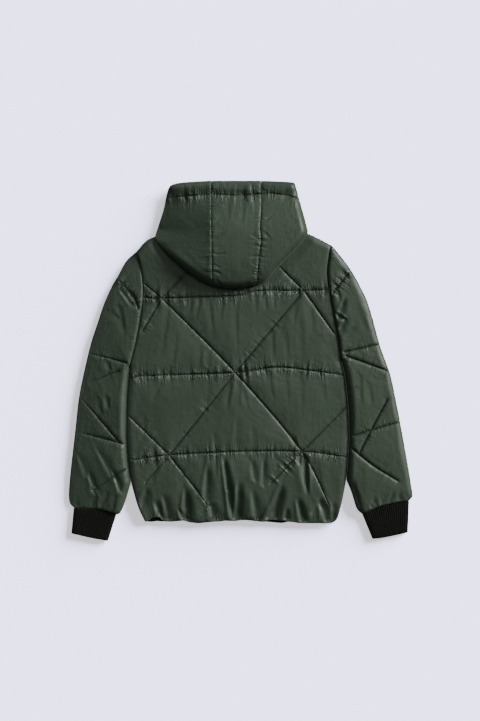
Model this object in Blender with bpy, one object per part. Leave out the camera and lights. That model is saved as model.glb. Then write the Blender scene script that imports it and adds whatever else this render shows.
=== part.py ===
"""Quilted hooded jacket, zipped shut and laid face down on a flat surface.

+Y runs from the hem to the hood, +X is to the right of somebody looking down at the jacket's
back, and the surface is z = 0. Tables and sizes are in millimetres, meshes in metres.

Every piece is a padded wall. The fronts lie on the surface, the back lies on the fronts, the
sleeves and cuffs are flattened tubes beside them, and the hood is folded down over the neckline.
"""
import bpy
import bmesh
import numpy as np
from mathutils import Vector
from mathutils.geometry import delaunay_2d_cdt

MM = 0.001
SEAM_GAP = 0.3          # between pieces that are sewn together
SIDE_CLEARANCE = 1.2    # between a sleeve and the side of the body
POINT_STEP = 15.0       # spacing of points along an edge or a stitch line
SHORT_STEP = 8.0        # the same along a wrist
PLAIN_FILL = 45.0       # spacing of points over a plain face
UNSEEN_FILL = 60.0      # the same over a front

# Levels of the layers above the surface.
FRONT_TOP = 10.6        # inner face of the fronts
BACK_INNER = 12.4       # inner face of the back
SIDE_LEVEL = 11.3       # where front and back meet at a joined edge
JOIN_WIDTH = 8.0        # how far in from a joined edge the inner faces part

# Padding.
STITCHED = 4.0          # wall at a stitch line
BACK_PAD = 17.0         # wall in the middle of a cell of the back
EDGE_WALL = 3.0         # wall at an open edge
EDGE_ROLL = 24.0        # how far in an open edge goes on rounding
UNDER_ROLL = 11.0       # the same on the lower side, which lies flat further in
SLEEVE_PAD = 18.0
SLIT = 1.8              # height left between the two walls of a flattened tube
SLIT_OPENS = 6.0        # how far in from its fold a slit reaches that height
FOLD_SHARE = 0.12       # share of a sleeve's height that stands at its folds
FOLD_ROW = 3.0          # the first row of points beside a fold
QUICK_PUFF = (0.72, 11.0)   # share of the padding that rises at once, and how fast
SLOW_PUFF = (0.28, 45.0)    # the rest

# ---- The body's outline: columns x, y -------------------------------------------------------
SHOULDER_LEFT = ((-260, 271), (-239, 295), (-213, 310), (-112, 346))
NECKLINE = ((-112, 346), (-62, 334), (-17, 330), (30, 335), (78, 352))
SHOULDER_RIGHT = ((78, 352), (169, 317), (225, 289))
ARMHOLE_RIGHT = ((225, 289), (217, 226), (222, 174), (231, 123), (244, 53), (251, 2))
SIDE_RIGHT = ((251, 2), (261, -43), (269, -122), (271, -192), (268, -238), (263, -296),
              (252, -355), (241, -393), (228, -404))
HEM = ((228, -404), (174, -406), (127, -403), (92, -401), (54, -399), (17, -397), (-19, -399),
       (-71, -403), (-122, -402), (-141, -398), (-191, -400), (-238, -400))
SIDE_LEFT = ((-238, -400), (-256, -360), (-272, -302), (-279, -262), (-284, -200), (-284, -122),
             (-281, -60), (-276, -15))
ARMHOLE_LEFT = ((-276, -15), (-259, 53), (-247, 122), (-242, 161), (-244, 209), (-251, 245),
                (-260, 271))
ZIP_X = -8.0            # centre front
ZIP_SPACE = 10.8        # between the edges of the fronts

# ---- Quilting of the back: crossing points and the lines that join them ----------------------
CROSSING = {
    "upper_left": (-196, 156), "upper_right": (157, 175), "centre": (-13, -29),
    "lower_left": (-178, -234), "lower_right": (152, -225),
}
BACK_STITCHES = (       # name of line, its points from one end to the other
    ("upper level", ((-238, 158), "upper_left", (-21, 162), (39, 174), "upper_right", (212, 177))),
    ("middle level", ((-274, -43), (-231, -37), "centre", (84, -16), (154, -21), (256, -35))),
    ("lower level", ((-268, -246), "lower_left", (-1, -225), "lower_right", (264, -239))),
    ("falling", ("upper_left", "centre", "lower_right", (226, -370))),
    ("rising", ("upper_right", "centre", "lower_left", (-236, -300))),
    ("neck left", ("upper_left", (-145, 208), (-62, 305))),
    ("neck right", ("upper_right", (96, 236), (35, 310))),
    ("armhole upper left", ("upper_left", (-237, 190))),
    ("armhole left", ("upper_left", (-244, 75))),
    ("armhole right", ("upper_right", (233, 68))),
    ("side left", ("lower_left", (-277, -138))),
    ("side right", ("lower_right", (263, -114))),
    ("hem left", ("lower_left", (-93, -344), (-76, -382))),
    ("hem right", ("lower_right", (77, -302))),
)

# Gathers and creases that the elastic hem throws up the back:
# columns foot x, foot y, head x, head y, width, depth.
HEM_FOLDS = (
    (-226, -394, -211, -352, 6, 5), (-198, -392, -204, -360, 6, 3),
    (-182, -394, -166, -350, 6, 5), (-141, -394, -135, -318, 6, 4),
    (-112, -396, -104, -352, 6, 4), (-78, -396, -82, -248, 7, 5),
    (-50, -396, -55, -345, 6, 4), (-12, -394, -38, -230, 8, 8),
    (12, -392, 8, -350, 6, 4), (34, -392, 36, -330, 6, 3),
    (62, -394, 106, -308, 8, 7), (98, -396, 108, -340, 6, 4),
    (126, -398, 134, -352, 6, 4), (150, -400, 142, -352, 7, 5),
    (170, -400, 160, -246, 8, 7), (196, -400, 200, -345, 7, 6),
    (214, -396, 226, -350, 6, 4),
)
FOLD_FADE = 0.6         # how a fold shallows towards its head: 1 is evenly
FOLD_START = 8.0        # how far above the hem's edge a fold is at its depth
HEM_FINE_DEPTH = 75.0   # the fine points reach this far above the hem
HEM_STEP = 8.5
HEM_POINT_STEP = 9.0

# ---- Sleeves ---------------------------------------------------------------------------------
# Edges: columns x, y. The outer edge runs from the shoulder tip to the cuff; the inner edge
# starts where the sleeve parts from the body's side; the wrist is where the cuff is sewn on.
SLEEVES = {
    "sleeve_left": dict(
        outer=((-261, 272), (-286, 247), (-304, 214), (-320, 187), (-341, 140), (-357, 92),
               (-371, 50), (-385, -6), (-402, -88), (-412, -175), (-424, -280), (-428, -333),
               (-425, -356), (-416, -365)),
        inner=((-273, -302), (-286, -347), (-300, -380), (-309, -382)),
        wrist=((-309, -382), (-345, -371), (-380, -367), (-416, -365)),
        stitches=(
            ("cap", ((-300, 197), (-286, 182), (-266, 161), (-254, 130))),
            ("elbow", ((-372, 17), (-325, 6), (-284, -5))),
            ("forearm", ((-406, -178), (-345, -192), (-292, -206))),
            ("rising", ((-399, -91), (-350, -146), (-303, -200))),
            ("falling", ((-283, -268), (-311, -284), (-366, -322))),
            ("faint", ((-303, -25), (-372, -54))),
        ),
    ),
    "sleeve_right": dict(
        outer=((226, 290), (247, 265), (274, 229), (298, 187), (320, 138), (347, 42),
               (361, 2), (373, -32), (379, -56), (398, -151), (414, -239), (429, -328),
               (428, -340), (421, -348)),
        inner=((264, -296), (277, -328), (290, -368), (303, -381)),
        wrist=((303, -381), (326, -372), (347, -363), (382, -354), (421, -348)),
        stitches=(
            ("cap", ((268, 217), (250, 196), (229, 168))),
            ("elbow", ((341, 41), (300, 31), (258, 22))),
            ("forearm", ((393, -153), (340, -168), (283, -186))),
            ("upper rising", ((264, 12), (367, -25))),
            ("falling", ((364, -97), (326, -168), (297, -225))),
            ("lower", ((276, -217), (330, -260), (389, -297))),
        ),
    ),
}
SLEEVE_WALL_SIDE = 9.0  # from a sleeve's outer fold to its slit
# Along a sleeve, armhole to wrist: columns share of the length, top, middle of the slit.
SLEEVE_LEVELS = ((0.0, 34, 11.5), (0.45, 36, 11.5), (0.8, 33, 10.5), (1.0, 24, 7.4))

# ---- Cuffs: flat rib tubes. The far end has columns x, y. --------------------------------------
CUFFS = {
    "cuff_left": dict(sleeve="sleeve_left", far=((-330, -449), (-375, -441), (-422, -430))),
    "cuff_right": dict(sleeve="sleeve_right", far=((329, -444), (361, -440), (418, -428))),
}
CUFF_RIBS = 22
CUFF_TOP = 14.0
CUFF_MIDDLE = 7.0
RIB_DEPTH = 1.6
CUFF_WALL_SIDE = 5.0    # from a cuff's outer edge to its slit
CUFF_ROLL = (13.0, 0.6) # how far in a cuff's top goes on rounding, and where that starts
CUFF_UNDER_ROLL = 7.0
CUFF_ROWS = (5, 4)      # points along a cuff's folds, along its ribs

# ---- Hood: columns x, y. The named seam points split it into its three panels. -----------------
HOOD_TOP_LEFT = ((-209, 322), (-200, 350), (-191, 379), (-184, 412), (-175, 436), (-150, 444),
                 (-110, 447), (-72, 449))
HOOD_TOP_MIDDLE = ((-72, 449), (-10, 449), (51, 449))
HOOD_TOP_RIGHT = ((51, 449), (100, 447), (128, 445), (136, 440), (146, 405), (159, 359), (168, 324))
HOOD_LOWER_RIGHT = ((168, 324), (164, 309), (137, 276), (97, 235), (67, 202), (40, 187))
HOOD_LOWER_MIDDLE = ((40, 187), (0, 180), (-30, 179), (-69, 185))
HOOD_LOWER_LEFT = ((-69, 185), (-99, 199), (-130, 220), (-172, 256), (-194, 279), (-211, 306),
                   (-209, 322))
HOOD_SEAM_LEFT = ((-72, 449), (-72, 385), (-71, 290), (-69, 185))
HOOD_SEAM_RIGHT = ((51, 449), (52, 385), (49, 328), (51, 296), (46, 258), (40, 187))
CHANNEL_STITCHES = ((-176, 405), (-131, 410), (-50, 413), (-3, 410), (47, 415), (87, 415),
                    (141, 405))
# Down the hood: columns y, height of the padded crown.
HOOD_LEVELS = ((449, 28), (412, 31), (380, 42), (345, 53), (300, 60), (250, 63), (215, 61),
               (180, 57))
HOOD_PAD = 13.0
HOOD_ROLL = 32.0        # how far in the hood goes on rounding
HOOD_MOUTH_ROLL = 13.0  # the same at the drawn channel of the face edge
HOOD_MOUTH = (385, 440) # between these the one gives way to the other
HOOD_PROFILE_STEP = 5.0
HOOD_TOP_ROWS = (3.0, 9.0)
HOOD_ROWS = (4.0, 12.0) # beside the edges of the hood's inner faces
HOOD_FILL = (16.0, 24.0, 34.0)      # points over the panels, the faces that meet, the underside
CHANNEL_CLEAR = 5.0     # the channel's stitches stop this far from a panel's edges
HOOD_RIM_LOW = 12.0     # level of the hood's rim beyond the neckline
HOOD_RIM_HIGH = 37.0    # level of its rim over the back
HOOD_RISE = (350, 310) # between these the rim climbs from the surface onto the back
HOOD_SHELF = 25.6       # underside of the hood over the back
HOOD_INSET = 4.0        # the hidden layers stay this far inside the rim
HOOD_LAYER_GAP = (2.0, 3.4)        # over the hidden layers: in the middle, by the rim
HOOD_GAP_REACH = 14.0   # over this distance the one becomes the other
HOOD_UNDER_ROLL = 12.0
HOOD_UNDER_WALL = 2.0   # the hidden layers' height at their rim
NECK_STEP = (3.0, 15.0) # outside the neckline: where the shelf ends, where the surface starts
NECK_CLEAR = 6.0        # these lines stop this far from the hood's rim
PRESSED_PAD = 12.8      # the back's wall where the hood lies on it

# ---- Hem facing and zip -------------------------------------------------------------------------
FACING_ENDS = (-229, 214)
FACING_DEPTH = 20.0
FACING_LEVELS = (10.9, 12.1)
FACING_TUCK = 3.0       # behind the hem's edge
FACING_SHOW = 2.6       # beyond the hem's edge, between these ends: columns x from, x to
FACING_SLIVERS = ((-229, -186), (50, 128))
FACING_STEP = 11.0
SLIVER_FADE = 6.0       # either side of an end
ZIP_TAPE = (26.0, 10.9, 12.0)      # width, lower level, upper level
ZIP_CHAIN = (6.2, 5.0)             # width, lower level
ZIP_INSET = (1.0, 12.0)            # from the facing, from the neckline
SLIDER = dict(width=9.8, length=14.0, low=2.0, high=9.4, groove=6.8, groove_low=4.7,
              from_head=2.0)


# ================================ plane curves ================================================
def spans(knots, step=POINT_STEP):
    """Smooth pieces of path, one between each two knots, with points about `step` apart."""
    knots = np.array(knots, float)
    padded = np.vstack((2 * knots[0] - knots[1], knots, 2 * knots[-1] - knots[-2]))
    pieces = []
    for before, start, end, after in zip(padded, padded[1:], padded[2:], padded[3:]):
        count = max(1, round(float(np.linalg.norm(end - start)) / step))
        t = np.linspace(0, 1, count + 1)[:, None]
        lean_in, lean_out = (end - before) / 2, (after - start) / 2
        pieces.append((2 * t**3 - 3 * t**2 + 1) * start + (t**3 - 2 * t**2 + t) * lean_in
                      + (3 * t**2 - 2 * t**3) * end + (t**3 - t**2) * lean_out)
    return pieces


def join(*paths):
    """One path from several that follow on, without the doubled points."""
    points = np.vstack(paths)
    keep = np.r_[True, np.linalg.norm(np.diff(points, axis=0), axis=1) > 1e-3]
    return points[keep]


def smooth(knots, step=POINT_STEP):
    return join(*spans(knots, step))


def closed(*paths):
    """An outline from paths that meet end to end all the way round; no point is doubled."""
    points = join(*paths)
    return points[:-1] if np.linalg.norm(points[0] - points[-1]) < 1e-3 else points


def ring(outline):
    return np.vstack((outline, outline[:1]))


def offset(path, distance):
    """The path moved to its right by `distance`."""
    along = np.gradient(path, axis=0)
    along /= np.linalg.norm(along, axis=1)[:, None]
    return path + distance * np.column_stack((along[:, 1], -along[:, 0]))


def distance(points, paths):
    """Least distance from each point to the paths."""
    best = np.full(len(points), 1e6)
    for path in paths:
        for start, end in zip(path[:-1], path[1:]):
            line = end - start
            share = np.clip((points - start) @ line / (line @ line), 0, 1)
            best = np.minimum(best, np.linalg.norm(points - start - share[:, None] * line, axis=1))
    return np.where(best < 0.01, 0.0, best)


def inside(points, outline):
    result = np.zeros(len(points), bool)
    for (x0, y0), (x1, y1) in zip(outline, np.roll(outline, -1, axis=0)):
        if y0 == y1:
            continue
        crosses = (y0 > points[:, 1]) != (y1 > points[:, 1])
        result ^= crosses & (points[:, 0] < x0 + (points[:, 1] - y0) * (x1 - x0) / (y1 - y0))
    return result


def beyond(points, outline):
    """Distance outside an outline, negative inside it."""
    away = distance(points, [ring(outline)])
    return np.where(inside(points, outline), -away, away)


def cut(outline, x, keep_left):
    """The part of an outline on one side of an upright line."""
    result = []
    for (x0, y0), (x1, y1) in zip(outline, np.roll(outline, -1, axis=0)):
        if (x0 < x) == keep_left:
            result.append((x0, y0))
        if (x0 < x) != (x1 < x):
            result.append((x, y0 + (x - x0) * (y1 - y0) / (x1 - x0)))
    return divided(np.array(result), POINT_STEP)


def divided(outline, step):
    """An outline with points put into its long edges."""
    result = []
    for start, end in zip(outline, np.roll(outline, -1, axis=0)):
        count = max(1, round(float(np.linalg.norm(end - start)) / step))
        result += [start + (end - start) * i / count for i in range(count)]
    return np.array(result)


# ================================ heights =====================================================
def rounded(share):
    """0 to 1 along a quarter of an ellipse."""
    return np.sqrt(np.clip(1 - (1 - np.clip(share, 0, 1)) ** 2, 0, 1))


def puffed(away, full):
    """Thickness of a padded wall at a distance from its stitches."""
    return STITCHED + (full - STITCHED) * sum(
        share * (1 - np.exp(-away / reach)) for share, reach in (QUICK_PUFF, SLOW_PUFF))


def ramp(values, start, end):
    share = np.clip((values - start) / (end - start), 0, 1)
    return share * share * (3 - 2 * share)


def troughs(points, folds):
    """Depth of the folds: deepest at the foot, fading to nothing at the head."""
    total = np.zeros(len(points))
    for foot_x, foot_y, head_x, head_y, width, depth in folds:
        foot, line = np.array((foot_x, foot_y)), np.array((head_x - foot_x, head_y - foot_y))
        share = np.clip((points - foot) @ line / (line @ line), 0, 1)
        away = np.linalg.norm(points - foot - share[:, None] * line, axis=1)
        fall = depth * (1 - share) ** FOLD_FADE * np.exp(-(away / width) ** 2)
        total = np.maximum(total, fall)
    return total


# ================================ closed bodies ===============================================
# How close points may come, as shares of their spacing: to the lines, to other points.
ROW_CLEAR = (0.93, 0.8)
FINE_CLEAR = (0.55, 0.75)
FILL_CLEAR = (0.5, 0.72)
ROW_STEP = (7.0, 4.0)   # spacing along the first row beside a line, and more for each next row


class Body:
    """A closed body made from surfaces over a plan and the strips that join their edges."""

    def __init__(self):
        self.mesh = bmesh.new()

    def surface(self, outline, height, lines=(), fill=0.0, rows=(), fine=None):
        """Triangles over an outline. Lines become edges, rows run beside lines and outline,
        and even points fill the rest; fine is an extra (spacing, y limit) for the hem."""
        border = [Vector(point) for point in outline]
        edges, extra = [], []
        for line in lines:
            first = len(border) + len(extra)
            extra += [Vector(point) for point in line]
            edges += [(first + i, first + i + 1) for i in range(len(line) - 1)]
        paths = [ring(outline), *lines]
        taken = [*border, *extra]
        for number, away in enumerate(rows):
            cells = [offset(path, side * away) for path in paths for side in (1, -1)]
            step = min(POINT_STEP, ROW_STEP[0] + ROW_STEP[1] * number)
            taken += self.clear_of(np.vstack(cells), outline, paths, away * ROW_CLEAR[0], taken,
                                   step * ROW_CLEAR[1])
        if fine:
            step, limit = fine
            points = grid(outline, step)
            points = points[points[:, 1] < limit]
            taken += self.clear_of(points, outline, paths, step * FINE_CLEAR[0], taken,
                                   step * FINE_CLEAR[1])
        if fill:
            taken += self.clear_of(grid(outline, fill), outline, paths, fill * FILL_CLEAR[0],
                                   taken, fill * FILL_CLEAR[1])
        plan, _, faces, *_ = delaunay_2d_cdt(taken, edges, [range(len(border))], 1, 1e-4)
        plan = np.array([tuple(point) for point in plan])
        self.add(plan, height(plan), faces)

    @staticmethod
    def clear_of(points, outline, paths, from_lines, taken, from_points):
        """The points that are inside, off the lines and not crowded."""
        points = points[inside(points, outline)]
        points = points[distance(points, paths) >= from_lines]
        kept, others = [], np.array([tuple(point) for point in taken])
        for point in points:
            if np.min(np.sum((others - point) ** 2, axis=1)) >= from_points ** 2:
                others = np.vstack((others, point))
                kept.append(Vector(point))
        return kept

    def add(self, plan, levels, faces):
        corners = [self.mesh.verts.new((x * MM, y * MM, z * MM))
                   for (x, y), z in zip(plan, levels)]
        for face in faces:
            self.mesh.faces.new([corners[i] for i in face])

    def strip(self, first, first_levels, second, second_levels):
        """Join two edges that need not have the same number of points."""
        plan = np.vstack((first, second))
        levels = np.concatenate((first_levels, second_levels))
        reach = [np.r_[0, np.cumsum(np.linalg.norm(np.diff(path, axis=0), axis=1))]
                 for path in (first, second)]
        reach = [part / part[-1] for part in reach]
        i, j, faces = 0, 0, []
        while i < len(first) - 1 or j < len(second) - 1:
            take_first = j == len(second) - 1 or (
                i < len(first) - 1 and reach[0][i + 1] <= reach[1][j + 1])
            if take_first:
                faces.append((i, i + 1, len(first) + j))
                i += 1
            else:
                faces.append((i, len(first) + j + 1, len(first) + j))
                j += 1
        self.add(plan, levels, faces)

    def finish(self, name, material):
        bmesh.ops.remove_doubles(self.mesh, verts=self.mesh.verts, dist=2e-6)
        bmesh.ops.recalc_face_normals(self.mesh, faces=self.mesh.faces)
        data = bpy.data.meshes.new(name)
        self.mesh.to_mesh(data)
        self.mesh.free()
        data.shade_smooth()
        data.materials.append(material)
        piece = bpy.data.objects.new(name, data)
        jacket.objects.link(piece)
        return piece


def grid(outline, step):
    """Evenly packed points over the box of an outline."""
    low, high = outline.min(axis=0), outline.max(axis=0)
    points = []
    for row, y in enumerate(np.arange(low[1] + step / 2, high[1], step * 0.866)):
        for x in np.arange(low[0] + step / 4 + (row % 2) * step / 2, high[0], step):
            points.append((x, y))
    return np.array(points)


def panel(name, material, outline, top, bottom, lines=(), fill=17.0, rows=(5.0, 13.0), fine=None,
          bottom_fill=PLAIN_FILL, bottom_rows=(), bottom_lines=()):
    """A padded wall: a worked outer face over a plain inner one, with an upright rim."""
    body = Body()
    body.surface(outline, top, lines, fill, rows, fine)
    body.surface(outline, bottom, bottom_lines, bottom_fill, bottom_rows)
    edge = ring(outline)
    body.strip(edge, top(edge), edge, bottom(edge))
    return body.finish(name, material)


def flat_tube(name, material, ends, sides, top, bottom, slit, wall, lines=(), fill=17.0,
              rows=(5.0, 13.0)):
    """A tube pressed flat: outer wall above and below, and a low slit inside, open at both
    ends. The ends are paths across, the sides run between them and are folds."""
    outline = closed(ends[0], sides[0], ends[1], sides[1])
    near, far = trim(ends[0], wall), trim(ends[1], wall)
    hollow = closed(near, inset(sides[0], sides[1][::-1], wall, near[-1], far[0]), far,
                    inset(sides[1], sides[0][::-1], wall, far[-1], near[0]))
    folds = [sides[0], sides[1]]
    hollow_folds = [hollow_side(hollow, near[-1], far[0]), hollow_side(hollow, far[-1], near[0])]

    def roof(points):
        return slit(points) + SLIT / 2 * rounded(distance(points, hollow_folds) / SLIT_OPENS)

    def ground(points):
        return slit(points) - SLIT / 2 * rounded(distance(points, hollow_folds) / SLIT_OPENS)

    def outer_top(points):
        return np.where(distance(points, folds) == 0, slit(points), top(points))

    def outer_bottom(points):
        return np.where(distance(points, folds) == 0, slit(points), bottom(points))

    body = Body()
    body.surface(outline, outer_top, lines, fill, rows)
    body.surface(outline, outer_bottom, (), PLAIN_FILL, (FOLD_ROW, UNDER_ROLL))
    body.surface(hollow, roof, (), PLAIN_FILL, (SLIT_OPENS,))
    body.surface(hollow, ground, (), PLAIN_FILL, (SLIT_OPENS,))
    for end, opening in ((ends[0], near), (ends[1], far)):
        body.strip(end, outer_top(end), opening, roof(opening))
        body.strip(end, outer_bottom(end), opening, ground(opening))
    return body.finish(name, material)


def trim(path, length):
    """The path without a length at each end."""
    reach = np.r_[0, np.cumsum(np.linalg.norm(np.diff(path, axis=0), axis=1))]
    keep = (reach > length + 1) & (reach < reach[-1] - length - 1)
    ends = [[np.interp(at, reach, path[:, axis]) for axis in (0, 1)]
            for at in (length, reach[-1] - length)]
    return np.vstack((ends[0], path[keep], ends[1]))


def inset(side, opposite, wall, start, end):
    """A side moved in by the wall, from one end of the opening to the other."""
    share = np.linspace(0, 1, len(side))[1:-1]
    moved = []
    for at, point in zip(share, side[1:-1]):
        reach = np.linspace(0, 1, len(opposite))
        across = np.array([np.interp(at, reach, opposite[:, axis]) for axis in (0, 1)]) - point
        moved.append(point + wall * across / np.linalg.norm(across))
    return np.vstack((start, moved, end))


def hollow_side(hollow, start, end):
    """The stretch of a closed outline from one of its points to another."""
    first = int(np.argmin(np.linalg.norm(hollow - start, axis=1)))
    turned = np.roll(hollow, -first, axis=0)
    last = int(np.argmin(np.linalg.norm(turned - end, axis=1)))
    return turned[:last + 1]


def finish_of(name, colour, roughness, metallic=0.0, sheen=0.0):
    material = bpy.data.materials.new(name)
    material.use_nodes = True
    shader = material.node_tree.nodes["Principled BSDF"]
    shader.inputs["Base Color"].default_value = (*colour, 1.0)
    shader.inputs["Roughness"].default_value = roughness
    shader.inputs["Metallic"].default_value = metallic
    shader.inputs["Sheen Weight"].default_value = sheen
    return material


# ================================ the scene ===================================================
for old in list(bpy.data.objects):
    bpy.data.objects.remove(old)
jacket = bpy.data.collections.new("quilted jacket")
bpy.context.scene.collection.children.link(jacket)
nylon = finish_of("nylon shell", (0.047, 0.062, 0.046), 0.42, sheen=0.2)
rib_knit = finish_of("rib knit", (0.008, 0.008, 0.008), 0.9)
facing_cloth = finish_of("hem facing", (0.010, 0.010, 0.011), 0.8)
zip_tape = finish_of("zip tape", (0.030, 0.040, 0.030), 0.7)
zip_metal = finish_of("zip metal", (0.10, 0.10, 0.10), 0.35, metallic=1.0)

# ================================ body ========================================================
shoulder_left, neckline = smooth(SHOULDER_LEFT), smooth(NECKLINE)
shoulder_right, armhole_right = smooth(SHOULDER_RIGHT), smooth(ARMHOLE_RIGHT)
side_right, hem = smooth(SIDE_RIGHT), smooth(HEM, HEM_POINT_STEP)
side_left, armhole_left = smooth(SIDE_LEFT), smooth(ARMHOLE_LEFT)
body_outline = closed(shoulder_left, neckline, shoulder_right, armhole_right, side_right, hem,
                      side_left, armhole_left)
joined_edges = [side_left, side_right, join(shoulder_left, neckline, shoulder_right)]
armholes = [armhole_left, armhole_right]

hood_outline = closed(smooth(HOOD_TOP_LEFT), smooth(HOOD_TOP_MIDDLE), smooth(HOOD_TOP_RIGHT),
                      smooth(HOOD_LOWER_RIGHT), smooth(HOOD_LOWER_MIDDLE),
                      smooth(HOOD_LOWER_LEFT))

stitch_lines = [smooth([CROSSING[knot] if isinstance(knot, str) else knot for knot in knots])
                for _, knots in BACK_STITCHES]


def back_inner(points):
    parted = rounded(distance(points, joined_edges) / JOIN_WIDTH)
    start = SIDE_LEVEL + SEAM_GAP
    return start + (BACK_INNER - start) * parted


def front_inner(points):
    parted = rounded(distance(points, joined_edges) / JOIN_WIDTH)
    return SIDE_LEVEL + (FRONT_TOP - SIDE_LEVEL) * parted


def back_outer(points):
    pad = BACK_PAD + (PRESSED_PAD - BACK_PAD) * ramp(-beyond(points, hood_outline), -22, 2)
    wall = puffed(distance(points, [*stitch_lines, *armholes]), BACK_PAD)
    rolled = EDGE_WALL + (BACK_PAD - EDGE_WALL) * rounded(
        distance(points, [*joined_edges, hem]) / EDGE_ROLL)
    wall = np.minimum(np.minimum(wall, rolled), pad)
    folds = troughs(points, HEM_FOLDS) * ramp(distance(points, [hem]), 0, FOLD_START)
    return back_inner(points) + np.maximum(wall - folds, EDGE_WALL)


def front_outer(points):
    edges = [*joined_edges, hem]
    return (SIDE_LEVEL - EDGE_WALL) * (1 - rounded(distance(points, edges) / UNDER_ROLL))


panel("back", nylon, body_outline, back_outer, back_inner, stitch_lines,
      fine=(HEM_STEP, min(HEM, key=lambda row: row[1])[1] + HEM_FINE_DEPTH),
      bottom_rows=(JOIN_WIDTH,))
for name, limit, keep_left in (("front_left", ZIP_X - ZIP_SPACE / 2, True),
                               ("front_right", ZIP_X + ZIP_SPACE / 2, False)):
    panel(name, nylon, cut(body_outline, limit, keep_left), front_inner, front_outer,
          fill=UNSEEN_FILL, rows=(JOIN_WIDTH,), bottom_fill=UNSEEN_FILL,
          bottom_rows=(FOLD_ROW, UNDER_ROLL))

# ================================ sleeves =====================================================
sleeve_wrists = {}


def build_sleeve(name, sizes, armhole, body_side):
    """One sleeve. The armhole runs from the shoulder tip to the underarm, and the body side
    from the underarm towards the hem."""
    outwards = -1 if armhole[0, 0] < 0 else 1
    end = offset(armhole, -outwards * SEAM_GAP)
    beside = offset(body_side, -outwards * SIDE_CLEARANCE)
    beside = beside[(beside[:, 1] > sizes["inner"][0][1] + POINT_STEP) & (np.arange(
        len(beside)) > 0)]
    inner = join(end[-1:], beside, smooth(sizes["inner"]))
    wrist = smooth(sizes["wrist"], SHORT_STEP)
    outer = join(smooth(sizes["outer"])[::-1][:-1], end[:1])
    outer[0], wrist[-1] = sizes["outer"][-1], sizes["outer"][-1]
    lines = [smooth(knots) for _, knots in sizes["stitches"]]
    axis_start, axis_end = end.mean(axis=0), wrist.mean(axis=0)
    axis = axis_end - axis_start
    shares, tops, middles = np.array(SLEEVE_LEVELS).T

    def along(points):
        return (points - axis_start) @ axis / (axis @ axis)

    def slit(points):
        return np.interp(along(points), shares, middles)

    def top(points):
        crown = np.interp(along(points), shares, tops)
        floor = slit(points) + SLIT / 2
        folds = distance(points, [inner, outer])
        sewn = distance(points, [*lines, end, wrist])
        wall = np.minimum(puffed(sewn, SLEEVE_PAD) / SLEEVE_PAD,
                          FOLD_SHARE + (1 - FOLD_SHARE) * rounded(folds / EDGE_ROLL))
        return floor + (crown - floor) * wall

    def bottom(points):
        return slit(points) * (1 - rounded(distance(points, [inner, outer]) / UNDER_ROLL))

    sleeve_wrists[name] = wrist
    flat_tube(name, nylon, (end, wrist), (inner, outer), top, bottom, slit,
              SLEEVE_WALL_SIDE, lines)


build_sleeve("sleeve_left", SLEEVES["sleeve_left"], armhole_left[::-1], side_left[::-1])
build_sleeve("sleeve_right", SLEEVES["sleeve_right"], armhole_right, side_right)


# ================================ cuffs =======================================================
def evenly(path, count):
    """Points that share a path out evenly."""
    reach = np.r_[0, np.cumsum(np.linalg.norm(np.diff(path, axis=0), axis=1))]
    at = np.linspace(0, reach[-1], count)
    return np.column_stack([np.interp(at, reach, path[:, axis]) for axis in (0, 1)])


def build_cuff(name, sizes):
    wrist = sleeve_wrists[sizes["sleeve"]]
    outwards = -1 if wrist[0, 0] < 0 else 1
    near = offset(wrist, outwards * SEAM_GAP)
    far = smooth(sizes["far"], SHORT_STEP)
    marks = 2 * CUFF_RIBS + 1
    near_marks, far_marks = evenly(near, marks), evenly(far, marks)
    inner = np.linspace(near[0], far[0], CUFF_ROWS[0])
    outer = np.linspace(far[-1], near[-1], CUFF_ROWS[0])
    ribs = [np.linspace(near_marks[i], far_marks[i], CUFF_ROWS[1]) for i in range(1, marks - 1)]
    valleys = [np.vstack((near_marks[i], far_marks[i])) for i in range(2, marks - 1, 2)]
    pitch = np.linalg.norm(near[-1] - near[0]) / CUFF_RIBS

    def slit(points):
        return np.full(len(points), CUFF_MIDDLE)

    def top(points):
        crown = CUFF_MIDDLE + (CUFF_TOP - CUFF_MIDDLE) * rounded(
            (distance(points, [inner, outer]) + CUFF_ROLL[1]) / CUFF_ROLL[0])
        groove = RIB_DEPTH * np.clip(1 - 2 * distance(points, valleys) / pitch, 0, 1)
        return crown - groove

    def bottom(points):
        return CUFF_MIDDLE * (1 - rounded(distance(points, [inner, outer])
                                          / CUFF_UNDER_ROLL))

    flat_tube(name, rib_knit, (near_marks[::-1], far_marks), (inner, outer), top, bottom,
              slit, CUFF_WALL_SIDE, [rib[1:-1] for rib in ribs], 0.0, ())


for cuff, cuff_sizes in CUFFS.items():
    build_cuff(cuff, cuff_sizes)

# ================================ hood ========================================================
seam_left, seam_right = smooth(HOOD_SEAM_LEFT), smooth(HOOD_SEAM_RIGHT)
channel = smooth(CHANNEL_STITCHES)
hood_profile = smooth(HOOD_LEVELS, HOOD_PROFILE_STEP)[::-1]


def hood_rim(points):
    return HOOD_RIM_LOW + (HOOD_RIM_HIGH - HOOD_RIM_LOW) * ramp(points[:, 1], *HOOD_RISE)


def hood_crown(points):
    """The hood's padded top without its seams."""
    crown = np.interp(points[:, 1], hood_profile[:, 0], hood_profile[:, 1])
    rim = hood_rim(points) + EDGE_WALL
    mouth = ramp(points[:, 1], *HOOD_MOUTH)
    roll = HOOD_ROLL + (HOOD_MOUTH_ROLL - HOOD_ROLL) * mouth
    return rim + (crown - rim) * rounded(distance(points, [ring(hood_outline)]) / roll)


def hood_wall(points):
    return EDGE_WALL + (HOOD_PAD - EDGE_WALL) * rounded(
        distance(points, [ring(hood_outline)]) / HOOD_ROLL)


def hood_inner(points):
    return hood_crown(points) - hood_wall(points)


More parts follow.
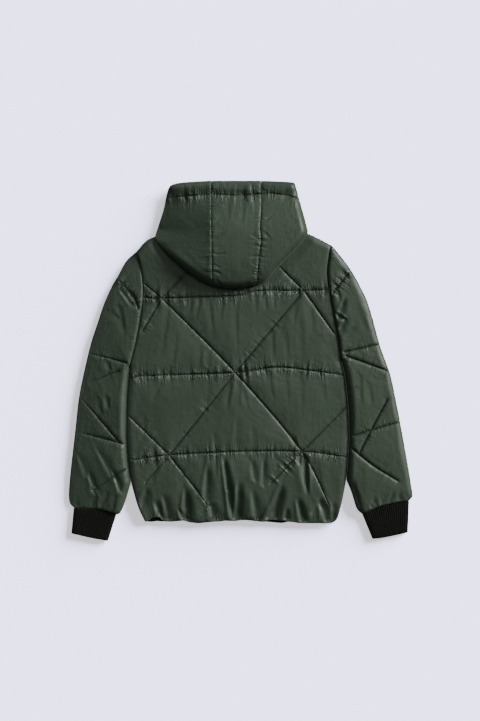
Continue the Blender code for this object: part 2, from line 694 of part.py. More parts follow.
def hood_outer(points):
    sewn = distance(points, [seam_left, seam_right, channel])
    return hood_inner(points) + hood_wall(points) * puffed(sewn, HOOD_PAD) / HOOD_PAD


half_gap = SEAM_GAP / 2
left_of_seam, right_of_left_seam = offset(seam_left, half_gap), offset(seam_left, -half_gap)
left_of_right_seam, right_of_seam = offset(seam_right, half_gap), offset(seam_right, -half_gap)


def channel_within(outline):
    """The channel's stitches that lie on one panel, clear of its edges."""
    return channel[inside(channel, outline) & (distance(channel, [ring(outline)]) > CHANNEL_CLEAR)]


for name, outline in (
        ("hood_left", closed(smooth(HOOD_TOP_LEFT)[:-1], left_of_seam,
                             smooth(HOOD_LOWER_LEFT)[1:])),
        ("hood_centre", closed(right_of_left_seam[::-1], smooth(HOOD_TOP_MIDDLE)[1:-1],
                               left_of_right_seam, smooth(HOOD_LOWER_MIDDLE)[1:-1])),
        ("hood_right", closed(right_of_seam[::-1], smooth(HOOD_TOP_RIGHT)[1:],
                              smooth(HOOD_LOWER_RIGHT)[:-1]))):
    panel(name, nylon, outline, hood_outer, hood_inner, [channel_within(outline)],
          fill=HOOD_FILL[0], rows=HOOD_TOP_ROWS, bottom_fill=HOOD_FILL[1], bottom_rows=HOOD_ROWS)

under_outline = offset(hood_outline, HOOD_INSET)
neck_rows = [offset(join(shoulder_left, neckline, shoulder_right), -away) for away in NECK_STEP]


def hood_base(points):
    return HOOD_SHELF * (1 - np.clip((beyond(points, body_outline) - NECK_STEP[0])
                                     / (NECK_STEP[1] - NECK_STEP[0]), 0, 1))


def under_middle(points):
    return (hood_base(points) + hood_inner(points)) / 2


def under_top(points):
    middle = under_middle(points)
    away = distance(points, [ring(under_outline)])
    gap = HOOD_LAYER_GAP[0] + (HOOD_LAYER_GAP[1] - HOOD_LAYER_GAP[0]) * np.exp(
        -away / HOOD_GAP_REACH)
    return middle + (hood_inner(points) - gap - middle) * rounded(away / HOOD_UNDER_ROLL)


def under_bottom(points):
    middle = under_middle(points) - HOOD_UNDER_WALL
    share = rounded(distance(points, [ring(under_outline)]) / HOOD_UNDER_ROLL)
    return middle + (hood_base(points) - middle) * share


panel("hood_under", nylon, under_outline, under_top, under_bottom, (), fill=HOOD_FILL[1],
      rows=HOOD_ROWS, bottom_fill=HOOD_FILL[2], bottom_rows=HOOD_ROWS,
      bottom_lines=[row[inside(row, under_outline)
                        & (distance(row, [ring(under_outline)]) > NECK_CLEAR)]
                    for row in neck_rows])

# ================================ hem facing ==================================================
facing_x = np.arange(FACING_ENDS[0], FACING_ENDS[1] + 1, FACING_STEP)
hem_order = hem[np.argsort(hem[:, 0])]
hem_y = np.interp(facing_x, hem_order[:, 0], hem_order[:, 1])
shown = sum(ramp(facing_x, start - SLIVER_FADE, start + SLIVER_FADE)
            * ramp(-facing_x, -end - SLIVER_FADE, -end + SLIVER_FADE)
            for start, end in FACING_SLIVERS)
facing_lower = np.column_stack((facing_x, hem_y + FACING_TUCK
                                - (FACING_TUCK + FACING_SHOW) * shown))
facing_upper = np.column_stack((facing_x, hem_y + FACING_DEPTH))[::-1]
panel("hem_facing", facing_cloth, np.vstack((facing_lower, facing_upper)),
      lambda points: np.full(len(points), FACING_LEVELS[1]),
      lambda points: np.full(len(points), FACING_LEVELS[0]), fill=0, rows=(), bottom_fill=0)


# ================================ zip =========================================================
def extruded(name, material, profile, start, length):
    """A profile of x and z, in millimetres, drawn out along Y."""
    mesh = bmesh.new()
    corners = [mesh.verts.new(((ZIP_X + x) * MM, start * MM, z * MM)) for x, z in profile]
    face = mesh.faces.new(corners)
    moved = bmesh.ops.extrude_face_region(mesh, geom=[face])["geom"]
    bmesh.ops.translate(mesh, vec=(0, length * MM, 0),
                        verts=[part for part in moved if isinstance(part, bmesh.types.BMVert)])
    bmesh.ops.recalc_face_normals(mesh, faces=mesh.faces)
    data = bpy.data.meshes.new(name)
    mesh.to_mesh(data)
    mesh.free()
    data.materials.append(material)
    jacket.objects.link(bpy.data.objects.new(name, data))


tape, tape_low, tape_high = ZIP_TAPE
chain, chain_low = ZIP_CHAIN
zip_foot = float(np.interp(ZIP_X, hem_order[:, 0], hem_order[:, 1])) + FACING_DEPTH + ZIP_INSET[0]
zip_head = float(np.interp(ZIP_X, neckline[:, 0], neckline[:, 1])) - ZIP_INSET[1]
extruded("zip", zip_tape, ((-tape / 2, tape_low), (-chain / 2, tape_low), (-chain / 2, chain_low),
                           (chain / 2, chain_low), (chain / 2, tape_low), (tape / 2, tape_low),
                           (tape / 2, tape_high), (-tape / 2, tape_high)),
         zip_foot, zip_head - zip_foot)

wide, groove = SLIDER["width"] / 2, SLIDER["groove"] / 2
extruded("zip_slider", zip_metal,
         ((-wide, SLIDER["low"]), (wide, SLIDER["low"]), (wide, SLIDER["high"]),
          (groove, SLIDER["high"]), (groove, SLIDER["groove_low"]),
          (-groove, SLIDER["groove_low"]), (-groove, SLIDER["high"]), (-wide, SLIDER["high"])),
         zip_head - SLIDER["length"] - SLIDER["from_head"], SLIDER["length"])
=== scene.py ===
"""Quilted hooded jacket, laid face down: its looks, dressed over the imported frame.

Tables and sizes are in millimetres, meshes in metres. +Y runs from the hem to the hood, +X is
to the right of somebody looking down at the jacket's back, and the surface is z = 0.
"""

import bmesh
import bpy
import numpy as np
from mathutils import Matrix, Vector, kdtree
from mathutils.bvhtree import BVHTree
from mathutils.geometry import delaunay_2d_cdt


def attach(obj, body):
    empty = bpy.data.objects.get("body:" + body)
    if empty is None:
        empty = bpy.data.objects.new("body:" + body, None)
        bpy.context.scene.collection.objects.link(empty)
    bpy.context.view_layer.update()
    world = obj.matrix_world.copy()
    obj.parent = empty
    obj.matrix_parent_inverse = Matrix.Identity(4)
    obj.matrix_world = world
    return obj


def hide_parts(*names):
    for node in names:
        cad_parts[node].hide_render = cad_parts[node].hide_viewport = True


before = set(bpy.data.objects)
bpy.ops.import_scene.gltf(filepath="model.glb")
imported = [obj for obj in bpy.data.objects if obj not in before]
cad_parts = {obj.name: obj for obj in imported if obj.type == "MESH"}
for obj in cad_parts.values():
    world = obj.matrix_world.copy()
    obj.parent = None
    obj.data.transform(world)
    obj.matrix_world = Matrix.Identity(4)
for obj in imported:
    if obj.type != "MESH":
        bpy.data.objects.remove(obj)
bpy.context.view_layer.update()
MM = 0.001

# ==== The view ================================================================================
# A pale, evenly lit floor and backdrop, a broad overhead lamp and a lower one from the upper
# right, and a camera straight overhead.
FLOOR_COLOUR = (0.60, 0.60, 0.95)
FLOOR_GLOW = (0.97, 0.96, 1.0, 0.88)        # light that also reaches its shadows: colour, strength
GLOW_REACH = 0.012                          # metres: the glow misses gaps about this narrow
GLOW_OPEN = 0.45                            # share of open sky from which the glow is full
FLOOR_SPAN = 60.0                           # metres
BACKDROP_GLOW = (0.66, 0.66, 0.95, 4.6)     # as bright as the lit floor: colour, strength
LAMPS = (       # name, towards it, strength, radians across, what it lights, whether it gleams
    ("soft lamp", (0.08, 0.33, 1.0), 1.5, 0.6, "jacket", False),
    ("low lamp", (1.0, 0.6, 0.5), 9.6, 0.5, "jacket", True),
    ("floor lamp", (0.8, 0.6, 0.15), 62.0, 0.8, "floor", True),
)
FILL = (0.95, 0.97, 1.0, 0.12)              # colour, strength
LENS = (85, 36)                             # focal length, sensor width
CAMERA_AT = (-1.0, 1.2, 4254.0)


def shaped(name, mesh):
    """Mesh data from a bmesh that is finished with."""
    data = bpy.data.meshes.new(name)
    mesh.to_mesh(data)
    mesh.free()
    return data


def placed(name, data):
    """An object of the data, in the scene."""
    made = bpy.data.objects.new(name, data)
    bpy.context.scene.collection.objects.link(made)
    return made


def painted(name, **values):
    """A material, its node tree and its shader, with the shader's inputs set by name."""
    material = bpy.data.materials.new(name)
    material.use_nodes = True
    shader = material.node_tree.nodes["Principled BSDF"]
    for key, value in values.items():
        shader.inputs[key.replace("_", " ")].default_value = value
    return material, material.node_tree, shader


def node(tree, kind, given=None, **values):
    """A shader node with its inputs given as sockets or values, and its settings by lower
    case."""
    made = tree.nodes.new("ShaderNode" + kind)
    for key, value in values.items():
        if key.islower():
            setattr(made, key, value)
        else:
            made.inputs[key.replace("_", " ")].default_value = value
    for key, value in (given or {}).items():
        if isinstance(value, bpy.types.NodeSocket):
            tree.links.new(value, made.inputs[key])
        else:
            made.inputs[key].default_value = value
    return made


floor_paint, tree, shader = painted(
    "pale floor", Base_Color=(*FLOOR_COLOUR, 1), Roughness=0.95, Specular_IOR_Level=0.0,
    Emission_Color=(*FLOOR_GLOW[:3], 1))
open_sky = node(tree, "AmbientOcclusion", Distance=GLOW_REACH).outputs["AO"]
glow = node(tree, "MapRange", {"Value": open_sky}, From_Max=GLOW_OPEN, To_Max=FLOOR_GLOW[3])
tree.links.new(glow.outputs["Result"], shader.inputs["Emission Strength"])
backdrop_paint = painted(
    "pale backdrop", Base_Color=(0, 0, 0, 1), Specular_IOR_Level=0.0,
    Emission_Color=(*BACKDROP_GLOW[:3], 1), Emission_Strength=BACKDROP_GLOW[3])[0]
mesh = bmesh.new()
bmesh.ops.create_grid(mesh, x_segments=1, y_segments=1, size=FLOOR_SPAN / 2)
floor = placed("floor", shaped("floor", mesh))
mesh = bmesh.new()
bmesh.ops.create_uvsphere(mesh, u_segments=48, v_segments=24, radius=FLOOR_SPAN * 0.45)
backdrop = placed("backdrop", shaped("backdrop", mesh))
backdrop.visible_shadow = False
for staged, paint in ((floor, floor_paint), (backdrop, backdrop_paint)):
    staged.data.materials.append(paint)
    staged.visible_diffuse = staged.visible_glossy = False      # no light back on the cloth

lit_by = {name: bpy.data.collections.new("lit " + name) for name in ("jacket", "floor")}
lit_by["floor"].objects.link(floor)
for name, towards, strength, across, lights, gleams in LAMPS:
    lamp = placed(name, bpy.data.lights.new(name, "SUN"))
    lamp.data.energy = strength
    lamp.data.angle = across
    lamp.rotation_euler = Vector(towards).to_track_quat("Z", "Y").to_euler()
    lamp.light_linking.receiver_collection = lit_by[lights]
    lamp.visible_glossy = gleams

world = bpy.data.worlds.new("studio")
world.use_nodes = True
sky = world.node_tree.nodes["Background"]
sky.inputs["Color"].default_value = (*FILL[:3], 1)
sky.inputs["Strength"].default_value = FILL[3]
bpy.context.scene.world = world

camera = placed("overhead", bpy.data.cameras.new("overhead"))
camera.data.lens, camera.data.sensor_width = LENS
camera.location = [value * MM for value in CAMERA_AT]
bpy.context.scene.camera = camera

# ==== Back panel ==============================================================================
# One padded panel of dark green nylon, hem to neckline, quilted in big diamonds that meet in
# stars. The stitching pulls both faces together; the padding stands up between the lines.
JOINED_LEVEL = 11.3             # where front and back meet at a joined edge
JOIN_WIDTH = 8.0
SEAM_GAP = 0.3
BACK_INNER = 12.4
BACK_PAD = 16.5
PRESSED_PAD = 9.5
BACK_CROWN = (0.3, 270.0)       # share by which the padding thins, this far from the middle
BACK_STEP = 6.6                 # between the points of the face that shows
HOOD_PRESS = (-32, 2)           # how far inside the hood's rim the back is full, is pressed flat
HEM_ROLL = (0.3, 120)           # share of its height that the hem's roll gives, reach of the rest
BACK_FADE = (8, 10)             # over this distance from an edge the folds, the ripples come up
HOOD_HIDES = (-12, 2)           # outside the hood's rim: where nothing is worked in, where all is
BACK_RIPPLES = (3, 14, 130, 0.25)       # seed, pitch, length, height
HEM_RIPPLES = (5, 34, 90, 4.0)          # the same for those that come up towards the hem
HEM_SLACK = (250, 395)          # down the back: where they start, where they are full
HEM_WAVES = ((1.4, 13, 5), (1.6, 34, 6))        # of the hem's edge: height, pitch, seed
EDGE_WALL = 3.0
EDGE_ROLL = 24.0
UNDER_ROLL = 11.0
STITCHED = 8.6                  # wall at a stitch line
GROOVE_RISE = (0.66, 1.6)       # share of the padding that rises at once, over this distance
SWELL_REACH = 45.0              # over this distance the rest of the padding rises
STITCH_CLEAR = 9.0              # ripples die away about this near a stitch line
GATHER_REACH = 11.0             # how far the finest puckers run from a seam
NOISE = 4096                    # values in a line of smooth noise before it repeats
ROW_STEP = 0.866                # height of an even triangle, as a share of its side
EDGE_ROWS = (1.5, 4.5)          # rows of points beside the edge of a face that shows
STITCH_ROWS = ((1.7, 1), (4.6, 2))      # beside its stitches: how far, every how many points
ROW_CLEAR = 0.9                 # share of its distance that a row keeps from other edges
FILL_CLEAR = (0.5, 0.55)        # steps that the even points keep from stitch rows, edge rows
SEWN_WITHIN = 0.3               # points this near a stitch line are held by it
WELD = 2e-6                     # metres
PADDING = dict(                 # the cloth that the padding blows up
    quality=5, mass=0.02, tension_stiffness=12, compression_stiffness=12, shear_stiffness=4,
    bending_stiffness=3, bending_damping=2, air_damping=6, vertex_group_mass="sewn",
    pin_stiffness=1, use_pressure=True, uniform_pressure_force=0.5)
PADDING_FRAMES = 20
CREASE_REACH = (0.6, 1.3)       # share of its width on its steep side and on its slack side
CREASE_LIP = (0.3, 0.15)        # share of its depth that its lip stands up there
LIP_AWAY = 1.9                  # middle of the lip from the crease, in reaches
CREASE_TAPER = (1.25, 0.6)      # a crease's width at its foot, as a share, and how much it loses
PUCKER_SIDE = 60.0              # puckers end this far from their seam
BUNCHES = (32, 0.35, 1.5)       # of gathers: how far apart, the least pull, the most above it

SHOULDER_LEFT = ((-260, 271), (-239, 295), (-213, 310), (-112, 346))
NECKLINE = ((-112, 346), (-62, 334), (-17, 330), (30, 335), (78, 352))
SHOULDER_RIGHT = ((78, 352), (169, 317), (225, 289))
ARMHOLE_RIGHT = ((225, 289), (217, 226), (222, 174), (231, 123), (244, 53), (251, 2))
SIDE_RIGHT = ((251, 2), (261, -43), (269, -122), (271, -192), (268, -238), (263, -296),
              (252, -355), (241, -393), (228, -404))
HEM = ((228, -404), (174, -406), (127, -403), (92, -401), (54, -399), (17, -397), (-19, -399),
       (-71, -403), (-122, -402), (-141, -398), (-191, -400), (-238, -400))
SIDE_LEFT = ((-238, -400), (-256, -360), (-272, -302), (-279, -262), (-284, -200), (-284, -122),
             (-281, -60), (-276, -15))
ARMHOLE_LEFT = ((-276, -15), (-259, 53), (-247, 122), (-242, 161), (-244, 209), (-251, 245),
                (-260, 271))

HEM_LIFTS = ((-233, -190, 9.0), (62, 120, 5.0))     # start, end, how far the hem rolls up
LIFT_RAMP = 14              # it comes up and goes down over this distance

CROSSING = {
    "upper_left": (-196, 156), "upper_right": (157, 175), "centre": (-13, -29),
    "lower_left": (-178, -234), "lower_right": (152, -225),
}
BACK_STITCHES = (       # line, how much it puckers, its points from one end to the other
    ("upper level", 1.0, ((-238, 158), "upper_left", (-21, 162), (39, 174), "upper_right",
                          (212, 177))),
    ("middle level", 1.0, ((-274, -43), (-231, -37), "centre", (84, -16), (154, -21),
                           (256, -35))),
    ("lower level", 1.0, ((-268, -246), "lower_left", (-1, -225), "lower_right", (264, -239))),
    ("falling", 0.25, ("upper_left", "centre", "lower_right", (226, -370))),
    ("rising", 0.25, ("upper_right", "centre", "lower_left", (-236, -300))),
    ("neck left", 0.3, ("upper_left", (-145, 208), (-62, 305))),
    ("neck right", 0.5, ("upper_right", (96, 236), (35, 310))),
    ("armhole upper left", 0.4, ("upper_left", (-237, 190))),
    ("armhole left", 0.3, ("upper_left", (-244, 75))),
    ("armhole right", 0.3, ("upper_right", (233, 68))),
    ("side left", 0.3, ("lower_left", (-277, -138))),
    ("side right", 0.3, ("lower_right", (263, -114))),
    ("hem left", 0.5, ("lower_left", (-93, -344), (-76, -382))),
    ("hem right", 0.5, ("lower_right", (77, -302))),
)
# Creases on the back: columns foot x, foot y, head x, head y, width, depth.
BACK_CREASES = (
    # folds thrown up by the hem
    (-18, -397, -34, -292, 8, 9), (-30, -318, -44, -229, 6, 7), (-7, -399, -4, -292, 9, 9),
    (75, -390, 108, -302, 10, 10), (61, -395, 82, -364, 6, 5), (155, -401, 141, -336, 8, 7),
    (110, -402, 117, -362, 7, 6), (-136, -395, -136, -308, 9, 8), (-143, -397, -155, -364, 5, 6),
    (-87, -340, -80, -246, 8, 5), (-66, -397, -77, -345, 10, 5), (-195, -397, -213, -343, 10, 6),
    (-178, -390, -193, -328, 9, 4.5), (-244, -354, -230, -313, 9, 4), (40, -395, 29, -313, 9, 4),
    (56, -304, 59, -239, 7, 3), (34, -290, 26, -239, 7, 3), (215, -398, 194, -336, 10, 5),
    (180, -378, 205, -336, 9, 4), (233, -394, 229, -345, 8, 4), (161, -243, 168, -340, 7, 7),
    (148, -238, 147, -262, 5, 4),
    # slack below the upper level
    (-120, 150, -128, 110, 5.2, 1), (-100, 150, -112, 95, 5.2, 1), (-78, 152, -66, 60, 6.3, 1.1),
    (-45, 154, -50, 90, 6.3, 0.8), (-12, 155, -8, 20, 8.4, 0.9), (38, 160, 40, 110, 5.2, 0.9),
    (62, 162, 66, 118, 5.2, 0.9), (86, 164, 84, 124, 5.2, 0.8), (-180, 130, -196, 10, 8.4, 1),
    (140, 140, 132, 90, 6.3, 0.9), (170, 150, 186, 60, 7.4, 0.8), (78, 70, 84, -10, 7.4, 1),
    (112, 75, 118, 0, 7.4, 0.9), (150, 90, 154, -10, 8.4, 0.6), (-98, 30, -102, -25, 6.3, 0.9),
    (-80, 20, -76, -25, 6.3, 0.8), (-160, 60, -168, -20, 8.4, 0.8),
    # slack between the middle and lower levels
    (-22, -45, -34, -130, 6.3, 1.4), (-6, -50, -4, -140, 7.4, 0.9), (4, -60, 20, -120, 6.3, 0.9),
    (-78, -60, -90, -160, 8.4, 0.8), (-62, -215, -70, -170, 6.3, 0.8), (-12, -215, -8, -120, 7.4, 1.1),
    (34, -215, 26, -150, 7.4, 0.8), (70, -30, 84, -110, 7.4, 0.9), (110, -32, 122, -120, 8.4, 0.8),
    (150, -35, 156, -140, 8.4, 0.6), (-200, -60, -222, -110, 7.4, 0.9), (200, -40, 214, -120, 8.4, 0.6),
    (-236, -150, -246, -205, 6.3, 0.9), (132, -190, 146, -222, 5.2, 1.7),
    # slack below the lower level
    (-62, -240, -60, -300, 6.3, 1.2), (-92, -240, -90, -290, 6.3, 0.9), (20, -236, 26, -290, 6.3, 1.1),
    (60, -236, 52, -300, 6.3, 0.9), (90, -236, 92, -280, 5.2, 0.8), (-140, -300, -150, -360, 7.4, 1.1),
    (-210, -262, -222, -320, 7.4, 1), (128, -262, 96, -300, 6.3, 1.4), (188, -258, 206, -320, 7.4, 1),
)


def smooth(knots, step=6.0):
    """Points about `step` apart on a smooth path through the knots."""
    knots = np.array(knots, float)
    padded = np.vstack((2 * knots[0] - knots[1], knots, 2 * knots[-1] - knots[-2]))
    pieces = []
    for before, start, end, after in zip(padded, padded[1:], padded[2:], padded[3:]):
        count = max(1, round(float(np.linalg.norm(end - start)) / step))
        t = np.linspace(0, 1, count + 1)[:, None]
        lean_in, lean_out = (end - before) / 2, (after - start) / 2
        pieces.append((2 * t**3 - 3 * t**2 + 1) * start + (t**3 - 2 * t**2 + t) * lean_in
                      + (3 * t**2 - 2 * t**3) * end + (t**3 - t**2) * lean_out)
    return join(*pieces)


def join(*paths):
    """One path from several that follow on, without the doubled points."""
    points = np.vstack(paths)
    keep = np.r_[True, np.linalg.norm(np.diff(points, axis=0), axis=1) > 1e-3]
    return points[keep]


def closed(*paths):
    """An outline from paths that meet end to end all the way round."""
    points = join(*paths)
    return points[:-1] if np.linalg.norm(points[0] - points[-1]) < 1e-3 else points


def ring(outline):
    return np.vstack((outline, outline[:1]))


def reached(path):
    """How far along a path each of its points lies."""
    return np.r_[0, np.cumsum(np.linalg.norm(np.diff(path, axis=0), axis=1))]


def picked(path, at):
    """The points of a path at distances along it."""
    reach = reached(path)
    return np.column_stack([np.interp(at, reach, path[:, axis]) for axis in (0, 1)])


def offset(path, away):
    """The path moved to its right."""
    along = np.gradient(path, axis=0)
    along /= np.linalg.norm(along, axis=1)[:, None]
    return path + away * np.column_stack((along[:, 1], -along[:, 0]))


def nearest(points, paths):
    """Least distance from each point to the paths, and how far along them that is."""
    knots = np.vstack(paths)
    starts = np.cumsum([0] + [len(path) for path in paths])[:-1]
    tree = kdtree.KDTree(len(knots))
    for index, (x, y) in enumerate(knots):
        tree.insert((x, y, 0), index)
    tree.balance()
    close = np.array([tree.find((x, y, 0))[1] for x, y in points], int).reshape(-1)
    steps = np.linalg.norm(np.diff(knots, axis=0), axis=1)
    steps[starts[1:] - 1] = 0
    reach = np.r_[0, np.cumsum(steps)]
    away = np.linalg.norm(points - knots[close], axis=1)
    along = reach[close]
    for first in (close - 1, close):
        first = np.clip(first, 0, len(knots) - 2)
        line = knots[first + 1] - knots[first]
        length = np.where(steps[first] == 0, 1, steps[first])
        share = np.clip(np.sum((points - knots[first]) * line, axis=1) / length**2, 0, 1)
        side = np.linalg.norm(points - knots[first] - share[:, None] * line, axis=1)
        closer = (side < away) & (steps[first] > 0)
        away = np.where(closer, side, away)
        along = np.where(closer, reach[first] + share * length, along)
    return np.where(away < 0.01, 0.0, away), along


def distance(points, paths):
    return nearest(points, paths)[0]


def inside(points, outline):
    result = np.zeros(len(points), bool)
    for (x0, y0), (x1, y1) in zip(outline, np.roll(outline, -1, axis=0)):
        if y0 == y1:
            continue
        crosses = (y0 > points[:, 1]) != (y1 > points[:, 1])
        result ^= crosses & (points[:, 0] < x0 + (points[:, 1] - y0) * (x1 - x0) / (y1 - y0))
    return result


def beyond(points, outline):
    """Distance outside an outline, negative inside it."""
    away = distance(points, [ring(outline)])
    return np.where(inside(points, outline), -away, away)


def clear(points, lines):
    """0 at the stitches, near 1 well away from them."""
    return 1 - np.exp(-distance(points, lines) / STITCH_CLEAR)


def raised(points, height):
    """Plan points with the height over them."""
    return np.column_stack((points, height(points)))


def rounded(share):
    """0 to 1 along a quarter of an ellipse."""
    return np.sqrt(np.clip(1 - (1 - np.clip(share, 0, 1)) ** 2, 0, 1))


def ramp(values, start, end):
    share = np.clip((values - start) / (end - start), 0, 1)
    return share * share * (3 - 2 * share)


def puffed(away, full):
    """Thickness of a padded wall at a distance from its stitches: a crisp groove beside
    them, then a long low swell."""
    share, width = GROOVE_RISE
    return STITCHED + (full - STITCHED) * (share * (1 - np.exp(-away / width))
                                           + (1 - share) * (1 - np.exp(-away / SWELL_REACH)))


def waves(values, seed):
    """Uneven waves along a line: smooth noise, about one wave to each unit."""
    random = np.random.default_rng(seed).uniform(-1, 1, NOISE)
    cell = np.floor(values).astype(int)
    share = ramp(values - cell, 0, 1)
    return random[cell % NOISE] * (1 - share) + random[(cell + 1) % NOISE] * share


def plan_mesh(outline, lines, step, rows=(), line_rows=()):
    """Even triangles over an outline, with its lines as edges: points, faces, border."""
    points, edges, first = [outline, *lines], [], len(outline)
    for line in lines:
        edges += [(first + i, first + i + 1) for i in range(len(line) - 1)]
        first += len(line)
    paths = [ring(outline), *lines]
    beside = [(away, 1, paths[:1]) for away in rows]
    beside += [(away, every, lines) for away, every in line_rows if lines]
    for away, every, sources in beside:
        row = np.vstack([offset(path, side * away)[::every] for path in sources
                         for side in (1, -1)])
        points.append(row[inside(row, outline) & (distance(row, paths) > away * ROW_CLEAR)])
    low, high = outline.min(axis=0), outline.max(axis=0)
    levels = np.arange(low[1] + step / 2, high[1], step * ROW_STEP)
    fill = np.array([(x, y) for row, y in enumerate(levels)
                     for x in np.arange(low[0] + (row % 2) * step / 2, high[0], step)])
    fill = fill[inside(fill, outline)]
    by_line, by_edge = (step * share for share in FILL_CLEAR)
    if lines:
        fill = fill[distance(fill, lines) > max(away for away, _ in line_rows) + by_line]
    fill = fill[distance(fill, paths[:1]) > max((0, *rows)) + by_edge]
    points.append(fill)
    taken = [Vector(point) for point in np.vstack(points)]
    plan, _, faces, origins, *_ = delaunay_2d_cdt(taken, edges, [range(len(outline))], 1, 1e-4)
    border = {}
    for index, sources in enumerate(origins):
        for source in sources:
            if source < len(outline):
                border[source] = index
    return (np.array([tuple(point) for point in plan]), [tuple(face) for face in faces],
            [border[i] for i in range(len(outline))])


def corners_of(data):
    """A mesh's points as rows."""
    points = np.empty(len(data.vertices) * 3)
    data.vertices.foreach_get("co", points)
    return points.reshape(-1, 3)


def inflate(name, points, faces, held, spare=(0.03, 0.01), most=3.0):
    """Blender's cloth on one face of a padded piece. The held points stay sewn, the padding
    pushes, and the spare cloth, more across than along, wrinkles as it likes."""
    data = bpy.data.meshes.new(name)
    data.from_pydata(points * MM, [], faces)
    skin = placed(name, data)
    skin.vertex_groups.new(name="sewn").add([int(i) for i in np.flatnonzero(held)], 1.0,
                                            "REPLACE")
    skin.shape_key_add(name="laid")
    cut_to = skin.shape_key_add(name="cut")
    cut_to.data.foreach_set("co", (points * MM * (1 + spare[0], 1 + spare[1], 1)).ravel())
    padding = skin.modifiers.new("padding", "CLOTH")
    for key, value in PADDING.items():
        setattr(padding.settings, key, value)
    padding.settings.rest_shape_key = cut_to
    padding.settings.effector_weights.gravity = 0
    padding.collision_settings.use_collision = False
    padding.point_cache.frame_start = 1
    padding.point_cache.frame_end = PADDING_FRAMES
    for number in range(1, PADDING_FRAMES + 1):
        bpy.context.scene.frame_set(number)
    blown = skin.evaluated_get(bpy.context.evaluated_depsgraph_get())
    moved = corners_of(blown.data) / MM - points
    reach = np.linalg.norm(moved, axis=1)[:, None] + 1e-9
    moved *= most * np.tanh(reach / most) / reach
    bpy.data.objects.remove(skin)
    bpy.context.scene.frame_set(1)
    return points + moved


class Shell:
    """A closed cloth form put together from faces over a plan and strips along their edges."""

    def __init__(self):
        self.mesh = bmesh.new()
        self.outer = self.mesh.verts.layers.float.new("outer")
        self.rim = self.mesh.verts.layers.float.new("rim")
        self.crease = self.mesh.edges.layers.float.new("crease_edge")

    def add(self, points, faces, outer=0.0, rim=()):
        corners = [self.mesh.verts.new(point * MM) for point in points]
        for corner, weight in zip(corners, np.broadcast_to(outer, len(points))):
            corner[self.outer] = weight
        for index in rim:
            corners[index][self.rim] = 1.0
        for face in faces:
            self.mesh.faces.new([corners[i] for i in face])

    def plain(self, outline, height, step=40.0, rows=()):
        plan, faces, border = plan_mesh(outline, [], step, rows)
        self.add(raised(plan, height), faces, 0.0, border)

    def worked(self, name, outline, lines, height, step, **padding):
        """The face that shows: fine, blown up by its padding between the lines."""
        plan, faces, border = plan_mesh(outline, lines, step, EDGE_ROWS, STITCH_ROWS)
        held = np.zeros(len(plan), bool)
        held[border] = True
        if lines:
            held |= distance(plan, lines) < SEWN_WITHIN
        points = inflate(name, raised(plan, height), faces, held, **padding)
        weight = np.ones(len(plan))
        weight[border] = 0.0
        self.add(points, faces, weight, border)

    def strip(self, first, second):
        """Join two edges that need not have the same number of points."""
        reach = [reached(path) / reached(path)[-1] for path in (first, second)]
        i, j, faces = 0, 0, []
        while i < len(first) - 1 or j < len(second) - 1:
            if j == len(second) - 1 or (i < len(first) - 1 and reach[0][i + 1] <= reach[1][j + 1]):
                faces.append((i, i + 1, len(first) + j))
                i += 1
            else:
                faces.append((i, len(first) + j + 1, len(first) + j))
                j += 1
        self.add(np.vstack((first, second)), faces, 0.0, range(len(first) + len(second)))

    def close(self, outline, upper, lower):
        """The edge of a panel, between its two faces."""
        edge = ring(outline)
        self.strip(raised(edge, upper), raised(edge, lower))

    def finish(self, name, material, node_name, detail=None, gathers=None):
        """The smoothed form as an object in place of its node. The detail is a rise over the
        plan, worked into the face that shows. The gathers are seams, with how much each draws
        the cloth up, for the finest puckers, which the material makes."""
        bmesh.ops.remove_doubles(self.mesh, verts=self.mesh.verts, dist=WELD)
        bmesh.ops.recalc_face_normals(self.mesh, faces=self.mesh.faces)
        for edge in self.mesh.edges:
            edge[self.crease] = float(all(end[self.rim] > 0.5 for end in edge.verts))
        rough = placed(name + ".rough", shaped(name, self.mesh))
        soften = rough.modifiers.new("soften", "SUBSURF")
        soften.levels = soften.render_levels = 1
        data = settled(rough)
        if detail:
            points = corners_of(data)
            weight = np.empty(len(points))
            data.attributes["outer"].data.foreach_get("value", weight)
            shown = weight > 0.001
            points[shown, 2] += detail(points[shown, :2] / MM) * weight[shown] * MM
            data.vertices.foreach_set("co", points.ravel())
            drawn = np.zeros((len(points), 3))
            drawn[shown] = gathered(points[shown, :2] / MM, gathers)
            data.attributes.new("gathers", "FLOAT_VECTOR", "POINT").data.foreach_set(
                "vector", drawn.ravel())
        for layer in ("outer", "rim", "crease_edge"):
            data.attributes.remove(data.attributes[layer])
        return dressed(name, data, material, node_name)


def settled(made):
    """A plain mesh of what an object's modifiers make of it. The object goes."""
    data = bpy.data.meshes.new_from_object(
        made.evaluated_get(bpy.context.evaluated_depsgraph_get()))
    bpy.data.objects.remove(made)
    return data


def dressed(name, data, material, node_name):
    """A finished mesh as an object that takes the place of its node."""
    data.name = name
    data.shade_smooth()
    data.materials.clear()
    data.materials.append(material)
    piece = placed(name, data)
    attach(piece, "root")
    if node_name:
        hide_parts(node_name)
    lit_by["jacket"].objects.link(piece)
    return piece


